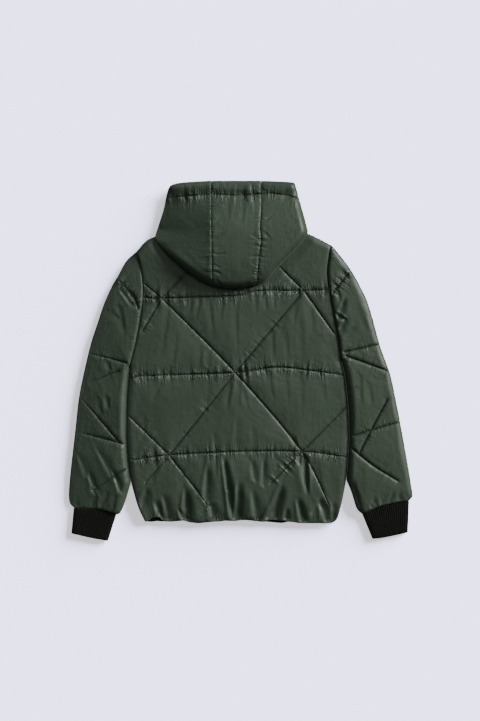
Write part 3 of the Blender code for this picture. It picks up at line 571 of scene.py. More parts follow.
def creased(points, creases):
    """Rise of the listed creases: a trough, steep on one side, with a soft lip, fading out
    at both ends."""
    total = np.zeros(len(points))
    for foot_x, foot_y, head_x, head_y, width, depth in creases:
        foot, line = np.array((foot_x, foot_y)), np.array((head_x - foot_x, head_y - foot_y))
        share = np.clip((points - foot) @ line / (line @ line), 0, 1)
        away = np.linalg.norm(points - foot - share[:, None] * line, axis=1)
        fade = ramp(1 - share, 0, 0.45) * (0.55 + 0.45 * ramp(share, -0.2, 0.25))
        side = np.sign(line[0] * (points[:, 1] - foot_y) - line[1] * (points[:, 0] - foot_x))
        reach = np.where(side > 0, *CREASE_REACH) * width * (CREASE_TAPER[0]
                                                             - CREASE_TAPER[1] * share)
        trough = np.exp(-(away / reach) ** 2)
        lip = np.where(side > 0, *CREASE_LIP) * np.exp(-((away - LIP_AWAY * reach) / reach) ** 2)
        total += depth * fade * (lip - trough)
    return total


def puckered(points, lines, seed, pitch=8.0, reach=11.0, height=4.0):
    """Short gathers that stand across the stitches, as uneven as hand work. The lines come
    with how much each puckers."""
    total = np.zeros(len(points))
    for number, (line, amount) in enumerate(lines):
        low, high = line.min(axis=0) - PUCKER_SIDE, line.max(axis=0) + PUCKER_SIDE
        near = np.flatnonzero(np.all((points > low) & (points < high), axis=1))
        if not len(near):
            continue
        away, along = nearest(points[near], [line])
        beat = waves(along / pitch, seed + number) + 0.5 * waves(along / (pitch * 0.45),
                                                                 seed + number + 50)
        long = reach * (0.7 + 0.5 * waves(along / (pitch * 2.3), seed + number + 90))
        total[near] += (height * amount * beat * bunched(along, number) * np.exp(-away / long)
                        * (1 - np.exp(-away / 2.0)) * ramp(PUCKER_SIDE - away, 0, 15))
    return total


def bunched(along, number):
    """The gathers come in bunches along a seam, with smoother stretches between."""
    apart, least, more = BUNCHES
    return least + more * np.abs(waves(along / apart, 900 + number))


def gathered(points, seams):
    """For each point, how far along its nearest seam it is and how far from it, in metres,
    and how much it is drawn up there."""
    best = np.full(len(points), 1e9)
    result = np.zeros((len(points), 3))
    for number, (line, amount) in enumerate(seams):
        away, along = nearest(points, [line])
        closer = away < best
        best = np.where(closer, away, best)
        pull = amount * bunched(along, number) * np.exp(-away / GATHER_REACH)
        found = np.column_stack(((along + 700 * number) * MM, away * MM, pull))
        result = np.where(closer[:, None], found, result)
    return result


def rippled(points, seed, pitch, length, height, share=1.0):
    """Long soft ripples that run up the cloth, all or a share of their height."""
    drift = 10 * waves(points[:, 1] / (length * 0.8), seed + 7)
    return height * share * waves((points[:, 0] + drift) / pitch, seed) * (
        0.6 + 0.5 * waves(points[:, 1] / length + points[:, 0] / (pitch * 9), seed + 1))


def cloth_material(name, colours, roughness, specular, weave, weave_depth, slack, sheen,
                   gathers=0.0):
    """Woven or knitted cloth: dye that clouds slightly, threads both ways, slack crumple, and
    gathers along its seams where it has them."""
    material, tree, shader = painted(
        name, Roughness=roughness, Specular_IOR_Level=specular, Sheen_Weight=sheen,
        Sheen_Roughness=0.4, Sheen_Tint=(0.7, 0.9, 0.7, 1))
    place = node(tree, "TexCoord").outputs["Object"]
    cloud = node(tree, "TexNoise", {"Vector": place}, Scale=14.0, Detail=4.0)
    dye = node(tree, "ValToRGB", {"Fac": cloud.outputs["Fac"]})
    for element, position, colour in zip(dye.color_ramp.elements, (0.3, 0.7), colours):
        element.position, element.color = position, (*colour, 1)
    tree.links.new(dye.outputs["Color"], shader.inputs["Base Color"])
    warp, weft = (node(tree, "TexWave", {"Vector": place}, bands_direction=axis, Scale=weave,
                       Distortion=0.6).outputs["Fac"] for axis in ("X", "Y"))
    threads = node(tree, "Math", {0: warp, 1: weft}, operation="ADD")
    crumple = node(tree, "TexNoise", {"Vector": place}, Scale=70.0, Detail=3.0)
    bumps = [(threads.outputs[0], weave_depth, 0.0002), (crumple.outputs["Fac"], slack, 0.0008)]
    if gathers:
        seam = node(tree, "Attribute", attribute_name="gathers").outputs["Vector"]
        pull = node(tree, "SeparateXYZ", {"Vector": seam}).outputs["Z"]
        ticks = ridges(tree, seam, (120.0, 26.0, 0.0), 3.0)
        drawn = node(tree, "Math", {0: ticks, 1: pull}, operation="MULTIPLY")
        bumps += [(drawn.outputs[0], gathers, 0.014),
                  (ridges(tree, place, (60.0, 10.0, 0.0), 2.0), gathers, 0.0007)]
    surface = {}
    for height, strength, depth in bumps:
        bump = node(tree, "Bump", {"Height": height, **surface}, Strength=strength, Distance=depth)
        surface = {"Normal": bump.outputs["Normal"]}
    tree.links.new(surface["Normal"], shader.inputs["Normal"])
    return material


def ridges(tree, place, stretch, detail):
    """Sharp valleys between rounded ridges, stretched over a place."""
    spread = node(tree, "VectorMath", {0: place, 1: stretch}, operation="MULTIPLY")
    noise = node(tree, "TexNoise", {"Vector": spread.outputs[0]}, Scale=1.0, Detail=detail)
    centred = node(tree, "Math", {0: noise.outputs["Fac"], 1: 0.5}, operation="SUBTRACT")
    return node(tree, "Math", {0: centred.outputs[0]}, operation="ABSOLUTE").outputs[0]


shell_cloth = cloth_material("nylon shell", ((0.0205, 0.0302, 0.0198), (0.0248, 0.0354, 0.0240)),
                             roughness=0.48, specular=0.19, weave=520.0, weave_depth=0.10,
                             slack=0.20, sheen=0.04, gathers=1.0)
shoulder_left, neckline, shoulder_right, armhole_right, side_right, hem, side_left, armhole_left = (
    smooth(edge) for edge in (SHOULDER_LEFT, NECKLINE, SHOULDER_RIGHT, ARMHOLE_RIGHT, SIDE_RIGHT,
                              HEM, SIDE_LEFT, ARMHOLE_LEFT))
hem[1:-1, 1] += sum(height * waves(hem[1:-1, 0] / pitch, seed) for height, pitch, seed in HEM_WAVES)
hem_line = hem[::-1].copy()
for start, end, lift in HEM_LIFTS:
    hem[1:-1, 1] += (lift * ramp(hem[1:-1, 0], start, start + LIFT_RAMP)
                     * ramp(-hem[1:-1, 0], -end, LIFT_RAMP - end))
body_outline = closed(shoulder_left, neckline, shoulder_right, armhole_right, side_right, hem,
                      side_left, armhole_left)
joined_edges = [side_left, side_right, join(shoulder_left, neckline, shoulder_right)]
armholes = [armhole_left, armhole_right]

HOOD_TOP_LEFT = ((-209, 322), (-200, 350), (-191, 379), (-184, 412), (-175, 436), (-150, 444),
                 (-110, 447), (-72, 449))
HOOD_TOP_MIDDLE = ((-72, 449), (-10, 449), (51, 449))
HOOD_TOP_RIGHT = ((51, 449), (100, 447), (128, 445), (136, 440), (146, 405), (159, 359), (168, 324))
HOOD_LOWER_RIGHT = ((168, 324), (164, 309), (137, 276), (97, 235), (67, 202), (40, 187))
HOOD_LOWER_MIDDLE = ((40, 187), (0, 180), (-30, 179), (-69, 185))
HOOD_LOWER_LEFT = ((-69, 185), (-99, 199), (-130, 220), (-172, 256), (-194, 279), (-211, 306),
                   (-209, 322))
hood_top = [smooth(edge) for edge in (HOOD_TOP_LEFT, HOOD_TOP_MIDDLE, HOOD_TOP_RIGHT)]
hood_low = [smooth(edge) for edge in (HOOD_LOWER_RIGHT, HOOD_LOWER_MIDDLE, HOOD_LOWER_LEFT)]
hood_outline = closed(*hood_top, *hood_low)

back_lines = [smooth([CROSSING[knot] if isinstance(knot, str) else knot for knot in knots], 3.0)
              for _, _, knots in BACK_STITCHES]


def back_inner(points):
    parted = rounded(distance(points, joined_edges) / JOIN_WIDTH)
    start = JOINED_LEVEL + SEAM_GAP
    return start + (BACK_INNER - start) * parted


def back_outer(points):
    pressed = ramp(-beyond(points, hood_outline), *HOOD_PRESS)
    pad = BACK_PAD + (PRESSED_PAD - BACK_PAD) * pressed
    wall = puffed(distance(points, [*back_lines, *armholes]), BACK_PAD)
    to_hem = distance(points, [hem])
    share, reach = HEM_ROLL
    by_hem = share * rounded(to_hem / EDGE_ROLL) + (1 - share) * np.clip(to_hem / reach, 0, 1)
    edge = np.minimum(rounded(distance(points, joined_edges) / EDGE_ROLL), by_hem)
    rolled = EDGE_WALL + (BACK_PAD - EDGE_WALL) * edge
    crown = 1 - BACK_CROWN[0] * (points[:, 0] / BACK_CROWN[1]) ** 2
    return back_inner(points) + np.minimum(np.minimum(wall, rolled), pad) * crown


back_gathers = [(line, row[1]) for line, row in zip(back_lines, BACK_STITCHES)]


def back_detail(points):
    from_edge = distance(points, [ring(body_outline)])
    folds, ripples = (ramp(from_edge, 0, reach) for reach in BACK_FADE)
    by_hem = ramp(-points[:, 1], *HEM_SLACK)
    rise = (creased(points, BACK_CREASES) + puckered(points, back_gathers, 11)) * folds
    rise += clear(points, back_lines) * ripples * (
        rippled(points, *BACK_RIPPLES) + rippled(points, *HEM_RIPPLES, by_hem))
    return rise * ramp(beyond(points, hood_outline), *HOOD_HIDES)


body = Shell()
body.worked("back_panel", body_outline, back_lines, back_outer, BACK_STEP)
body.plain(body_outline, back_inner)
body.close(body_outline, back_outer, back_inner)
back = body.finish("back_panel", shell_cloth, "back", back_detail,
                   [*back_gathers, (hem, 1.0)])

# ==== Fronts ==================================================================================
# Two panels of the same padded nylon under the back, with their edges held by the zip. They
# lie flat on the surface, so only their rolled edges show.
FRONT_INNER = 10.6
ZIP_X = -8.0
ZIP_SPACE = 10.8        # between the edges of the fronts
FRONT_EDGE = 9.0        # steps round a front's edge
FRONT_FILL = 24.0       # between the points of a front and of a sleeve's underside
UNDER_ROWS = (3.0, 7.0, UNDER_ROLL)     # rows of points beside the edge of an underside


def cut(outline, x, keep_left):
    """The part of an outline on one side of an upright line."""
    result = []
    for (x0, y0), (x1, y1) in zip(outline, np.roll(outline, -1, axis=0)):
        if (x0 < x) == keep_left:
            result.append((x0, y0))
        if (x0 < x) != (x1 < x):
            result.append((x, y0 + (x - x0) * (y1 - y0) / (x1 - x0)))
    divided = []
    for start, end in zip(np.array(result), np.roll(result, -1, axis=0)):
        count = max(1, round(float(np.linalg.norm(end - start)) / FRONT_EDGE))
        divided += [start + (end - start) * i / count for i in range(count)]
    return np.array(divided)


def front_inner(points):
    parted = rounded(distance(points, joined_edges) / JOIN_WIDTH)
    return JOINED_LEVEL + (FRONT_INNER - JOINED_LEVEL) * parted


def front_outer(points):
    edges = [*joined_edges, hem]
    return (JOINED_LEVEL - EDGE_WALL) * (1 - rounded(distance(points, edges) / UNDER_ROLL))


for name, node_name, limit, keep_left in (
        ("front_panel_left", "front_left", ZIP_X - ZIP_SPACE / 2, True),
        ("front_panel_right", "front_right", ZIP_X + ZIP_SPACE / 2, False)):
    half = cut(body_outline, limit, keep_left)
    body = Shell()
    body.plain(half, front_inner, FRONT_FILL, (JOIN_WIDTH,))
    body.plain(half, front_outer, FRONT_FILL, UNDER_ROWS)
    body.close(half, front_inner, front_outer)
    front = body.finish(name, shell_cloth, node_name)

# ==== Sleeves =================================================================================
# Two set-in sleeves of the padded nylon with dropped shoulders, pressed flat beside the body.
# Each is a tube closed by a seam at the back of the arm and quilted before it was closed.
SLEEVE_PAD = 18.0
SLEEVE_STEP = 5.2           # between the points of the face that shows
SLEEVE_SPARE = (0.02, 0.03)     # share of spare cloth across and along
SLEEVE_FOLD = 0.12          # share of the wall that stands right at a fold
SLEEVE_FREE = 15            # it leaves the body's side this far above its own edge
SLEEVE_FADE = 9             # over this distance from an edge its folds come up
SLEEVE_RIPPLES = (37, 22, 90, 0.7)      # seed, pitch, length, height
SLIT = 1.8                  # height left inside a flattened tube
SLIT_EDGE = 6.0             # it opens over this distance from its sides
SLIT_FILL = 30.0            # between the points of its faces
SIDE_CLEARANCE = 0.5        # between a sleeve and the side of the body
SLEEVE_WALL = 9.0           # from a sleeve's outer fold to its slit
SLEEVE_LEAN = 110.0         # from the outer fold to where a sleeve has its full height
# Along a sleeve, armhole to wrist: columns share of the length, top, middle of the slit.
SLEEVE_LEVELS = ((0.0, 34, 11.5), (0.45, 36, 11.5), (0.8, 33, 10.5), (1.0, 24, 7.4))
SLEEVES = {
    "sleeve_left": dict(
        outer_rise=0.06,            # share of its height that the sleeve keeps at its outer fold
        outer=((-261, 272), (-286, 247), (-304, 214), (-320, 187), (-341, 140), (-357, 92),
               (-371, 50), (-385, -6), (-402, -88), (-412, -175), (-424, -280), (-428, -333),
               (-425, -356), (-416, -365)),
        inner=((-273, -302), (-286, -347), (-300, -380), (-309, -382)),
        wrist=((-309, -382), (-345, -371), (-380, -367), (-416, -365)),
        stitches=(
            ("cap", 0.8, ((-300, 197), (-286, 182), (-266, 161), (-254, 130))),
            ("elbow", 0.35, ((-372, 17), (-325, 6), (-284, -5))),
            ("forearm", 0.35, ((-406, -178), (-345, -192), (-292, -206))),
            ("rising", 0.3, ((-399, -91), (-350, -146), (-303, -200))),
            ("falling", 0.4, ((-283, -268), (-311, -284), (-366, -322))),
            ("faint", 0.2, ((-303, -25), (-372, -54))),
        ),
        creases=(
            (-315, -289, -367, -200, 8, 2), (-299, -321, -320, -264, 6, 3.2),
            (-365, -322, -377, -270, 7, 2.6), (-383, -282, -408, -224, 8, 1.6),
            (-331, -3, -321, -28, 6, 2), (-331, -94, -326, -122, 6, 2), (-352, -98, -344, -140, 7, 1.5),
            (-270, 140, -306, 186, 6, 2.5), (-264, 152, -284, 176, 5, 3), (-300, 130, -286, 60, 8, 1.6),
            (-320, 120, -300, 100, 8, 1.5), (-330, -332, -345, -366, 6, 1.4),
            (-360, -342, -374, -364, 6, 1.4), (-310, -340, -318, -374, 5, 1.4),
        ),
    ),
    "sleeve_right": dict(
        outer_rise=0.68,
        outer=((226, 290), (247, 265), (274, 229), (298, 187), (320, 138), (347, 42),
               (361, 2), (373, -32), (379, -56), (398, -151), (414, -239), (429, -328),
               (428, -340), (421, -348)),
        inner=((264, -296), (277, -328), (290, -368), (303, -381)),
        wrist=((303, -381), (326, -372), (347, -363), (382, -354), (421, -348)),
        stitches=(
            ("cap", 0.8, ((268, 217), (250, 196), (229, 168))),
            ("elbow", 0.35, ((341, 41), (300, 31), (258, 22))),
            ("forearm", 0.35, ((393, -153), (340, -168), (283, -186))),
            ("upper rising", 0.4, ((264, 12), (367, -25))),
            ("falling", 0.3, ((364, -97), (326, -168), (297, -225))),
            ("lower", 0.3, ((276, -217), (330, -260), (389, -297))),
        ),
        creases=(
            (245, 118, 262, 160, 6, 4), (238, 116, 266, 101, 5, 5), (246, 80, 266, 110, 6, 4),
            (236, 190, 252, 140, 6, 2), (262, 60, 290, 90, 8, 1.4), (300, 120, 318, 60, 9, 0.9),
            (318, -60, 330, -120, 8, 1), (270, -78, 292, -60, 8, 1.5), (296, -40, 300, -110, 8, 1),
            (368, -354, 383, -320, 6, 2.5), (386, -350, 398, -326, 6, 1.5),
            (300, -376, 275, -290, 5, 2.5), (326, -362, 334, -330, 6, 1.4),
        ),
    ),
}


def trim(path, length):
    """The path without a length at each end."""
    reach = reached(path)
    keep = (reach > length + 1) & (reach < reach[-1] - length - 1)
    ends = picked(path, (length, reach[-1] - length))
    return np.vstack((ends[:1], path[keep], ends[1:]))


def inset(side, opposite, wall, start, end):
    """A side moved in by the wall, from one end of the opening to the other."""
    share = np.linspace(0, 1, len(side))[1:-1]
    reach = np.linspace(0, 1, len(opposite))
    across = np.column_stack([np.interp(share, reach, opposite[:, axis]) for axis in (0, 1)])
    across -= side[1:-1]
    across /= np.linalg.norm(across, axis=1)[:, None]
    return np.vstack((start, side[1:-1] + wall * across, end))


def sleeve(name, sizes, armhole, body_side):
    outwards = -1 if armhole[0, 0] < 0 else 1
    end = offset(armhole, -outwards * SEAM_GAP)
    beside = offset(body_side, -outwards * SIDE_CLEARANCE)[1:]
    beside = beside[beside[:, 1] > sizes["inner"][0][1] + SLEEVE_FREE]
    inner = join(end[-1:], beside, smooth(sizes["inner"]))
    wrist = smooth(sizes["wrist"])
    outer = join(smooth(sizes["outer"])[::-1][:-1], end[:1])
    outer[0] = wrist[-1]
    lines = [smooth(knots, 3.0) for _, _, knots in sizes["stitches"]]
    start, axis = end.mean(axis=0), wrist.mean(axis=0) - end.mean(axis=0)
    shares, tops, middles = np.array(SLEEVE_LEVELS).T
    near, far = trim(end, SLEEVE_WALL), trim(wrist, SLEEVE_WALL)
    hollow_sides = (inset(inner, outer[::-1], SLEEVE_WALL, near[-1], far[0]),
                    inset(outer, inner[::-1], SLEEVE_WALL, far[-1], near[0]))
    outline = closed(end, inner, wrist, outer)
    hollow = closed(near, hollow_sides[0], far, hollow_sides[1])

    def along(points):
        return (points - start) @ axis / (axis @ axis)

    def slit(points):
        return np.interp(along(points), shares, middles)

    def top(points):
        low = sizes["outer_rise"]
        floor = slit(points) + SLIT / 2
        crown = np.interp(along(points), shares, tops) - floor
        lean = low + (1 - low) * np.clip(distance(points, [outer]) / SLEEVE_LEAN, 0, 1)
        sewn = puffed(distance(points, [*lines, end, wrist]), SLEEVE_PAD) / SLEEVE_PAD
        folds = distance(points, [inner, outer])
        wall = np.minimum(sewn, SLEEVE_FOLD + (1 - SLEEVE_FOLD) * rounded(folds / EDGE_ROLL))
        return np.where(folds == 0, slit(points), floor + crown * lean * wall)

    def bottom(points):
        folds = distance(points, [inner, outer])
        return slit(points) * (1 - rounded(folds / UNDER_ROLL))

    def opening(points, side):
        away = distance(points, hollow_sides)
        return slit(points) + side * SLIT / 2 * rounded(away / SLIT_EDGE)

    gathers = [(line, row[1]) for line, row in zip(lines, sizes["stitches"])]
    gathers += [(wrist, 0.7), (end, 0.3)]

    def detail(points):
        from_edge = distance(points, [ring(outline)])
        rise = creased(points, sizes["creases"]) + puckered(points, gathers, 31)
        rise += rippled(points, *SLEEVE_RIPPLES) * clear(points, lines)
        return rise * ramp(from_edge, 0, SLEEVE_FADE)

    body = Shell()
    body.worked(name, outline, lines, top, SLEEVE_STEP, spare=SLEEVE_SPARE)
    body.plain(outline, bottom, FRONT_FILL, UNDER_ROWS)
    for side in (1, -1):
        body.plain(hollow, lambda points, side=side: opening(points, side), SLIT_FILL,
                   (SLIT_EDGE,))
    for rim, mouth in ((end, near), (wrist, far)):
        for face, side in ((top, 1), (bottom, -1)):
            body.strip(raised(rim, face), np.column_stack((mouth, opening(mouth, side))))
    piece = body.finish(name + "_tube", shell_cloth, name, detail, gathers)
    return wrist, lines


left_wrist, left_sleeve_lines = sleeve("sleeve_left", SLEEVES["sleeve_left"],
                                       armhole_left[::-1], side_left[::-1])
right_wrist, right_sleeve_lines = sleeve("sleeve_right", SLEEVES["sleeve_right"],
                                         armhole_right, side_right)

# ==== Cuffs ===================================================================================
# Black two-and-two rib knit tubes sewn to the wrists, lying flat.
CUFF_TOP = 14.0
CUFF_MIDDLE = 7.0
CUFF_RIBS = 22              # across one face
RIB_DEPTH = 1.5
CUFF_WAIST = 0.05           # share by which its middle draws in
CUFF_WALL = 5.0             # from a cuff's fold to its slit
CUFF_ROLL = (12, 8, 5)      # how far in its fold goes on rounding: above, below, in the slit
RIB_FADE = 8                # the grooves have their full depth this far from a fold
# Rings from the sleeve outwards: columns share of the length, share of the height.
CUFF_RINGS = ((0.0, 0.75), (0.02, 1.0), *((at, 1.0) for at in np.linspace(0.08, 0.9, 10)),
              (0.96, 0.97), (0.99, 0.8), (1.0, 0.5))
CUFF_FAR = {                # far ends, from the body's side outwards: columns x, y
    "cuff_left": ((-330, -449), (-375, -441), (-422, -430)),
    "cuff_right": ((329, -444), (361, -440), (418, -428)),
}
rib_knit = cloth_material("rib knit", ((0.0046, 0.0046, 0.0039), (0.0062, 0.0062, 0.0054)),
                          roughness=0.85, specular=0.04, weave=300.0, weave_depth=0.6,
                          slack=0.2, sheen=0.02)


def evenly(path, count):
    """Points that share a path out evenly."""
    return picked(path, np.linspace(0, reached(path)[-1], count))


def wrapped(loops):
    """A closed mesh from rings of equal length, the last joined to the first."""
    rings, count = len(loops), len(loops[0])
    faces = [(i * count + j, i * count + (j + 1) % count,
              (i + 1) % rings * count + (j + 1) % count, (i + 1) % rings * count + j)
             for i in range(rings) for j in range(count)]
    return np.vstack(loops), faces


def side_distance(row):
    """How far each point of a row across a cuff is from the nearer side."""
    share = np.linspace(0, 1, len(row))
    return np.minimum(share, 1 - share) * np.linalg.norm(row[0] - row[-1])


def flat_ring(row, upper, lower):
    """A ring across a cuff, over the row at one height and back under it at another."""
    return np.vstack((np.column_stack((row, upper)), np.column_stack((row, lower))[-2:0:-1]))


def cuff(name, wrist, far):
    outwards = -1 if wrist[0, 0] < 0 else 1
    marks = 4 * CUFF_RIBS + 1
    above, below, within = CUFF_ROLL
    near, far = evenly(offset(wrist, outwards * SEAM_GAP), marks), evenly(smooth(far), marks)
    beat = np.cos(np.arange(marks) * np.pi / 2) * 0.5 - 0.5
    loops = []
    for share, squeeze in CUFF_RINGS:
        row = near + (far - near) * share
        from_side = side_distance(row)
        pull = 1 - CUFF_WAIST * np.sin(np.pi * share)
        height = (CUFF_TOP - CUFF_MIDDLE) * rounded((from_side + 0.3) / above) * squeeze * pull
        grooves = RIB_DEPTH * beat * ramp(from_side, 0, RIB_FADE)
        low = CUFF_MIDDLE - CUFF_MIDDLE * rounded(from_side / below) * (0.4 + 0.6 * squeeze)
        loops.append(flat_ring(row, CUFF_MIDDLE + height + grooves, low))
    for share in np.linspace(1, 0, 9):
        row = evenly(trim(near + (far - near) * share, CUFF_WALL), marks)
        half = SLIT / 2 * rounded(side_distance(row) / within)
        loops.append(flat_ring(row, CUFF_MIDDLE + half, CUFF_MIDDLE - half))
    body = Shell()
    body.add(*wrapped(loops))
    piece = body.finish(name + "_rib", rib_knit, name)


cuff("cuff_left", left_wrist, CUFF_FAR["cuff_left"])
cuff("cuff_right", right_wrist, CUFF_FAR["cuff_right"])

# ==== Hood ====================================================================================
# Three padded panels of the nylon, with a drawn channel along the face edge, folded back over
# the neckline. The layers that it hides are one padded form under them.
HOOD_SEAM_LEFT = ((-72, 449), (-72, 385), (-71, 290), (-69, 185))
HOOD_SEAM_RIGHT = ((51, 449), (52, 385), (49, 328), (51, 296), (46, 258), (40, 187))
CHANNEL_STITCHES = ((-176, 405), (-131, 410), (-50, 413), (-3, 410), (47, 415), (87, 415),
                    (141, 405))
# Down the hood: columns y, height of the padded crown.
HOOD_LEVELS = ((449, 31), (436, 34), (424, 34), (412, 32.5), (380, 46), (345, 60), (300, 66),
               (250, 67), (215, 64), (180, 56))
HOOD_PAD = 13.0
HOOD_STEP = 4.6             # between the points of the faces that show
HOOD_SPARE = dict(spare=(0.02, 0.02), most=4.0)     # share of spare cloth, most that it moves
HOOD_FILL = (16.0, (4.0, 11.0))     # between points underneath, rows beside its edge
LAYER_FILL = (12.0, (4.0, 9.0))     # the same on the hidden layers
HOOD_ROLL = 18.0            # how far in the hood's rim goes on rounding
HOOD_MOUTH_ROLL = 13.0      # the same at the drawn channel
HOOD_DROP = (1.0, 0.06)         # share of its height that each side slopes off, seam to rim
HOOD_SWELL = (232, 310)         # between these the sides go from swollen to sloping
HOOD_SWOLLEN = 0.35             # share of the slope that is left where they are swollen
HOOD_MOUTH = (385, 440)         # between these the hood flattens into its channel
HOOD_RIM = (12.0, 28.0)     # level of the rim on the surface and on the back
HOOD_RISE = (332, 292)      # between these the rim climbs from the one to the other
HOOD_SHELF = 25.6           # underside of the hood over the back
HOOD_INSET = 4.0            # the hidden layers stay this far inside the rim
NECK_STEP = (3.0, 15.0)     # outside the neckline: where the shelf ends, the surface starts
LAYER_GAP = (1.6, 1.8, 14.0)    # over the hidden layers, more by their rim, over this distance
LAYER_ROLL = 12.0
LAYER_WALL = 2.0            # height of their rim
CHANNEL_CLEAR = 4           # its stitches end this far from the edges of a panel
HOOD_BENDS = (22, 16)       # points of the left and right top edges where the side turns to the top
HOOD_FADE = 6               # over this distance from the rim its folds come up
HOOD_RIPPLES = (77, 26, 110, 0.5)       # seed, pitch, length, height
RIM_PUCKERS = (81, 9.0, 12.0, 1.2)      # along the top edge: seed, pitch, reach, height
RIM_DRAWN = 0.6             # how much that edge puckers
HOOD_CREASES = (
    (-66, 300, -40, 318, 4, 1.3), (-66, 258, -34, 268, 4, 1.3), (-66, 236, -44, 228, 4, 1),
    (-66, 340, -46, 356, 4, 0.8), (-64, 210, -48, 196, 4, 0.8), (46, 300, 20, 312, 4, 1.1),
    (47, 262, 22, 250, 4, 1.3), (46, 232, 26, 240, 4, 0.8), (44, 205, 24, 196, 4, 1.1),
    (56, 345, 80, 360, 4, 1.1), (58, 318, 78, 300, 4, 1), (-30, 395, -26, 340, 6, 0.8),
    (8, 396, 4, 330, 7, 0.8), (-64, 222, -44, 214, 4, 1.6), (-62, 200, -40, 186, 4, 1.6),
)
seam_left, seam_right = smooth(HOOD_SEAM_LEFT, 5.0), smooth(HOOD_SEAM_RIGHT, 5.0)
channel = smooth(CHANNEL_STITCHES, 3.0)
hood_profile = smooth(HOOD_LEVELS, 5.0)[::-1]
hood_sides = [join(hood_low[2], hood_top[0][:HOOD_BENDS[0]]),
              join(hood_top[2][HOOD_BENDS[1]:], hood_low[0])]


def beside(points, path):
    """How far to the right of a path that runs up the hood, level by level."""
    order = np.argsort(path[:, 1])
    return points[:, 0] - np.interp(points[:, 1], path[order, 1], path[order, 0])


def hood_crown(points):
    """The hood's padded top without its seams: a flat strip with a slope down each side."""
    crown = np.interp(points[:, 1], hood_profile[:, 0], hood_profile[:, 1])
    rim = HOOD_RIM[0] + (HOOD_RIM[1] - HOOD_RIM[0]) * ramp(points[:, 1], *HOOD_RISE) + EDGE_WALL
    mouth = ramp(points[:, 1], *HOOD_MOUTH)
    roll = HOOD_ROLL + (HOOD_MOUTH_ROLL - HOOD_ROLL) * mouth
    near = rounded(distance(points, [ring(hood_outline)]) / roll)
    fall = 0
    full = HOOD_SWOLLEN + (1 - HOOD_SWOLLEN) * ramp(points[:, 1], *HOOD_SWELL)
    for seam, side, drop in zip((seam_left, seam_right), hood_sides, HOOD_DROP):
        past, room = -beside(points, seam), -beside(points, seam) + beside(points, side)
        fall = fall + drop * full * np.clip(past / np.where(np.abs(room) < 1, 1, room), 0, 1)
    return rim + (crown - rim) * near * (1 - fall * (1 - mouth))


def hood_wall(points):
    return EDGE_WALL + (HOOD_PAD - EDGE_WALL) * rounded(
        distance(points, [ring(hood_outline)]) / HOOD_ROLL)


def hood_inner(points):
    return hood_crown(points) - hood_wall(points)


def hood_outer(points):
    sewn = distance(points, [seam_left, seam_right, channel])
    return hood_inner(points) + hood_wall(points) * puffed(sewn, HOOD_PAD) / HOOD_PAD


hood_gathers = [(seam_left, 0.5), (seam_right, 0.55), (channel, 1.0)]


def hood_detail(points):
    from_edge = distance(points, [ring(hood_outline)])
    rise = creased(points, HOOD_CREASES) + puckered(points, hood_gathers, 71)
    rise += rippled(points, *HOOD_RIPPLES) * clear(points, [channel])
    rise += puckered(points, [(edge, RIM_DRAWN) for edge in hood_top], *RIM_PUCKERS)
    return rise * ramp(from_edge, 0, HOOD_FADE)


half_gap = SEAM_GAP / 2
hood_channels = []
for name, node_name, outline, flat, area in (
        ("hood_side_left", "hood_left",
         closed(hood_top[0][:-1], offset(seam_left, half_gap), hood_low[2][1:]),
         (0.15, 0.285), 0.0310),
        ("hood_strip", "hood_centre",
         closed(offset(seam_left, -half_gap)[::-1], hood_top[1][1:-1],
                offset(seam_right, half_gap), hood_low[1][1:-1]), (0.128, 0.295), 0.0365),
        ("hood_side_right", "hood_right",
         closed(offset(seam_right, -half_gap)[::-1], hood_top[2][1:], hood_low[0][:-1]),
         (0.14, 0.28), 0.0275)):
    from_edge = distance(channel, [ring(outline)])
    across = channel[inside(channel, outline) & (from_edge > CHANNEL_CLEAR)]
    hood_channels.append(across)
    body = Shell()
    body.worked(name, outline, [across], hood_outer, HOOD_STEP, **HOOD_SPARE)
    body.plain(outline, hood_inner, *HOOD_FILL)
    body.close(outline, hood_outer, hood_inner)
    panel = body.finish(name, shell_cloth, node_name, hood_detail, hood_gathers)

under_outline = offset(hood_outline, HOOD_INSET)


def hood_base(points):
    return HOOD_SHELF * (1 - np.clip((beyond(points, body_outline) - NECK_STEP[0])
                                     / (NECK_STEP[1] - NECK_STEP[0]), 0, 1))


def under_middle(points):
    return (hood_base(points) + hood_inner(points)) / 2


def under_top(points):
    away = distance(points, [ring(under_outline)])
    least, more, reach = LAYER_GAP
    rise = hood_inner(points) - (least + more * np.exp(-away / reach)) - under_middle(points)
    return under_middle(points) + rise * rounded(away / LAYER_ROLL)


def under_bottom(points):
    middle = under_middle(points) - LAYER_WALL
    share = rounded(distance(points, [ring(under_outline)]) / LAYER_ROLL)
    return middle + (hood_base(points) - middle) * share


body = Shell()
for face in (under_top, under_bottom):
    body.plain(under_outline, face, *LAYER_FILL)
body.close(under_outline, under_top, under_bottom)
hood_layers = body.finish("hood_layers", shell_cloth, "hood_under")

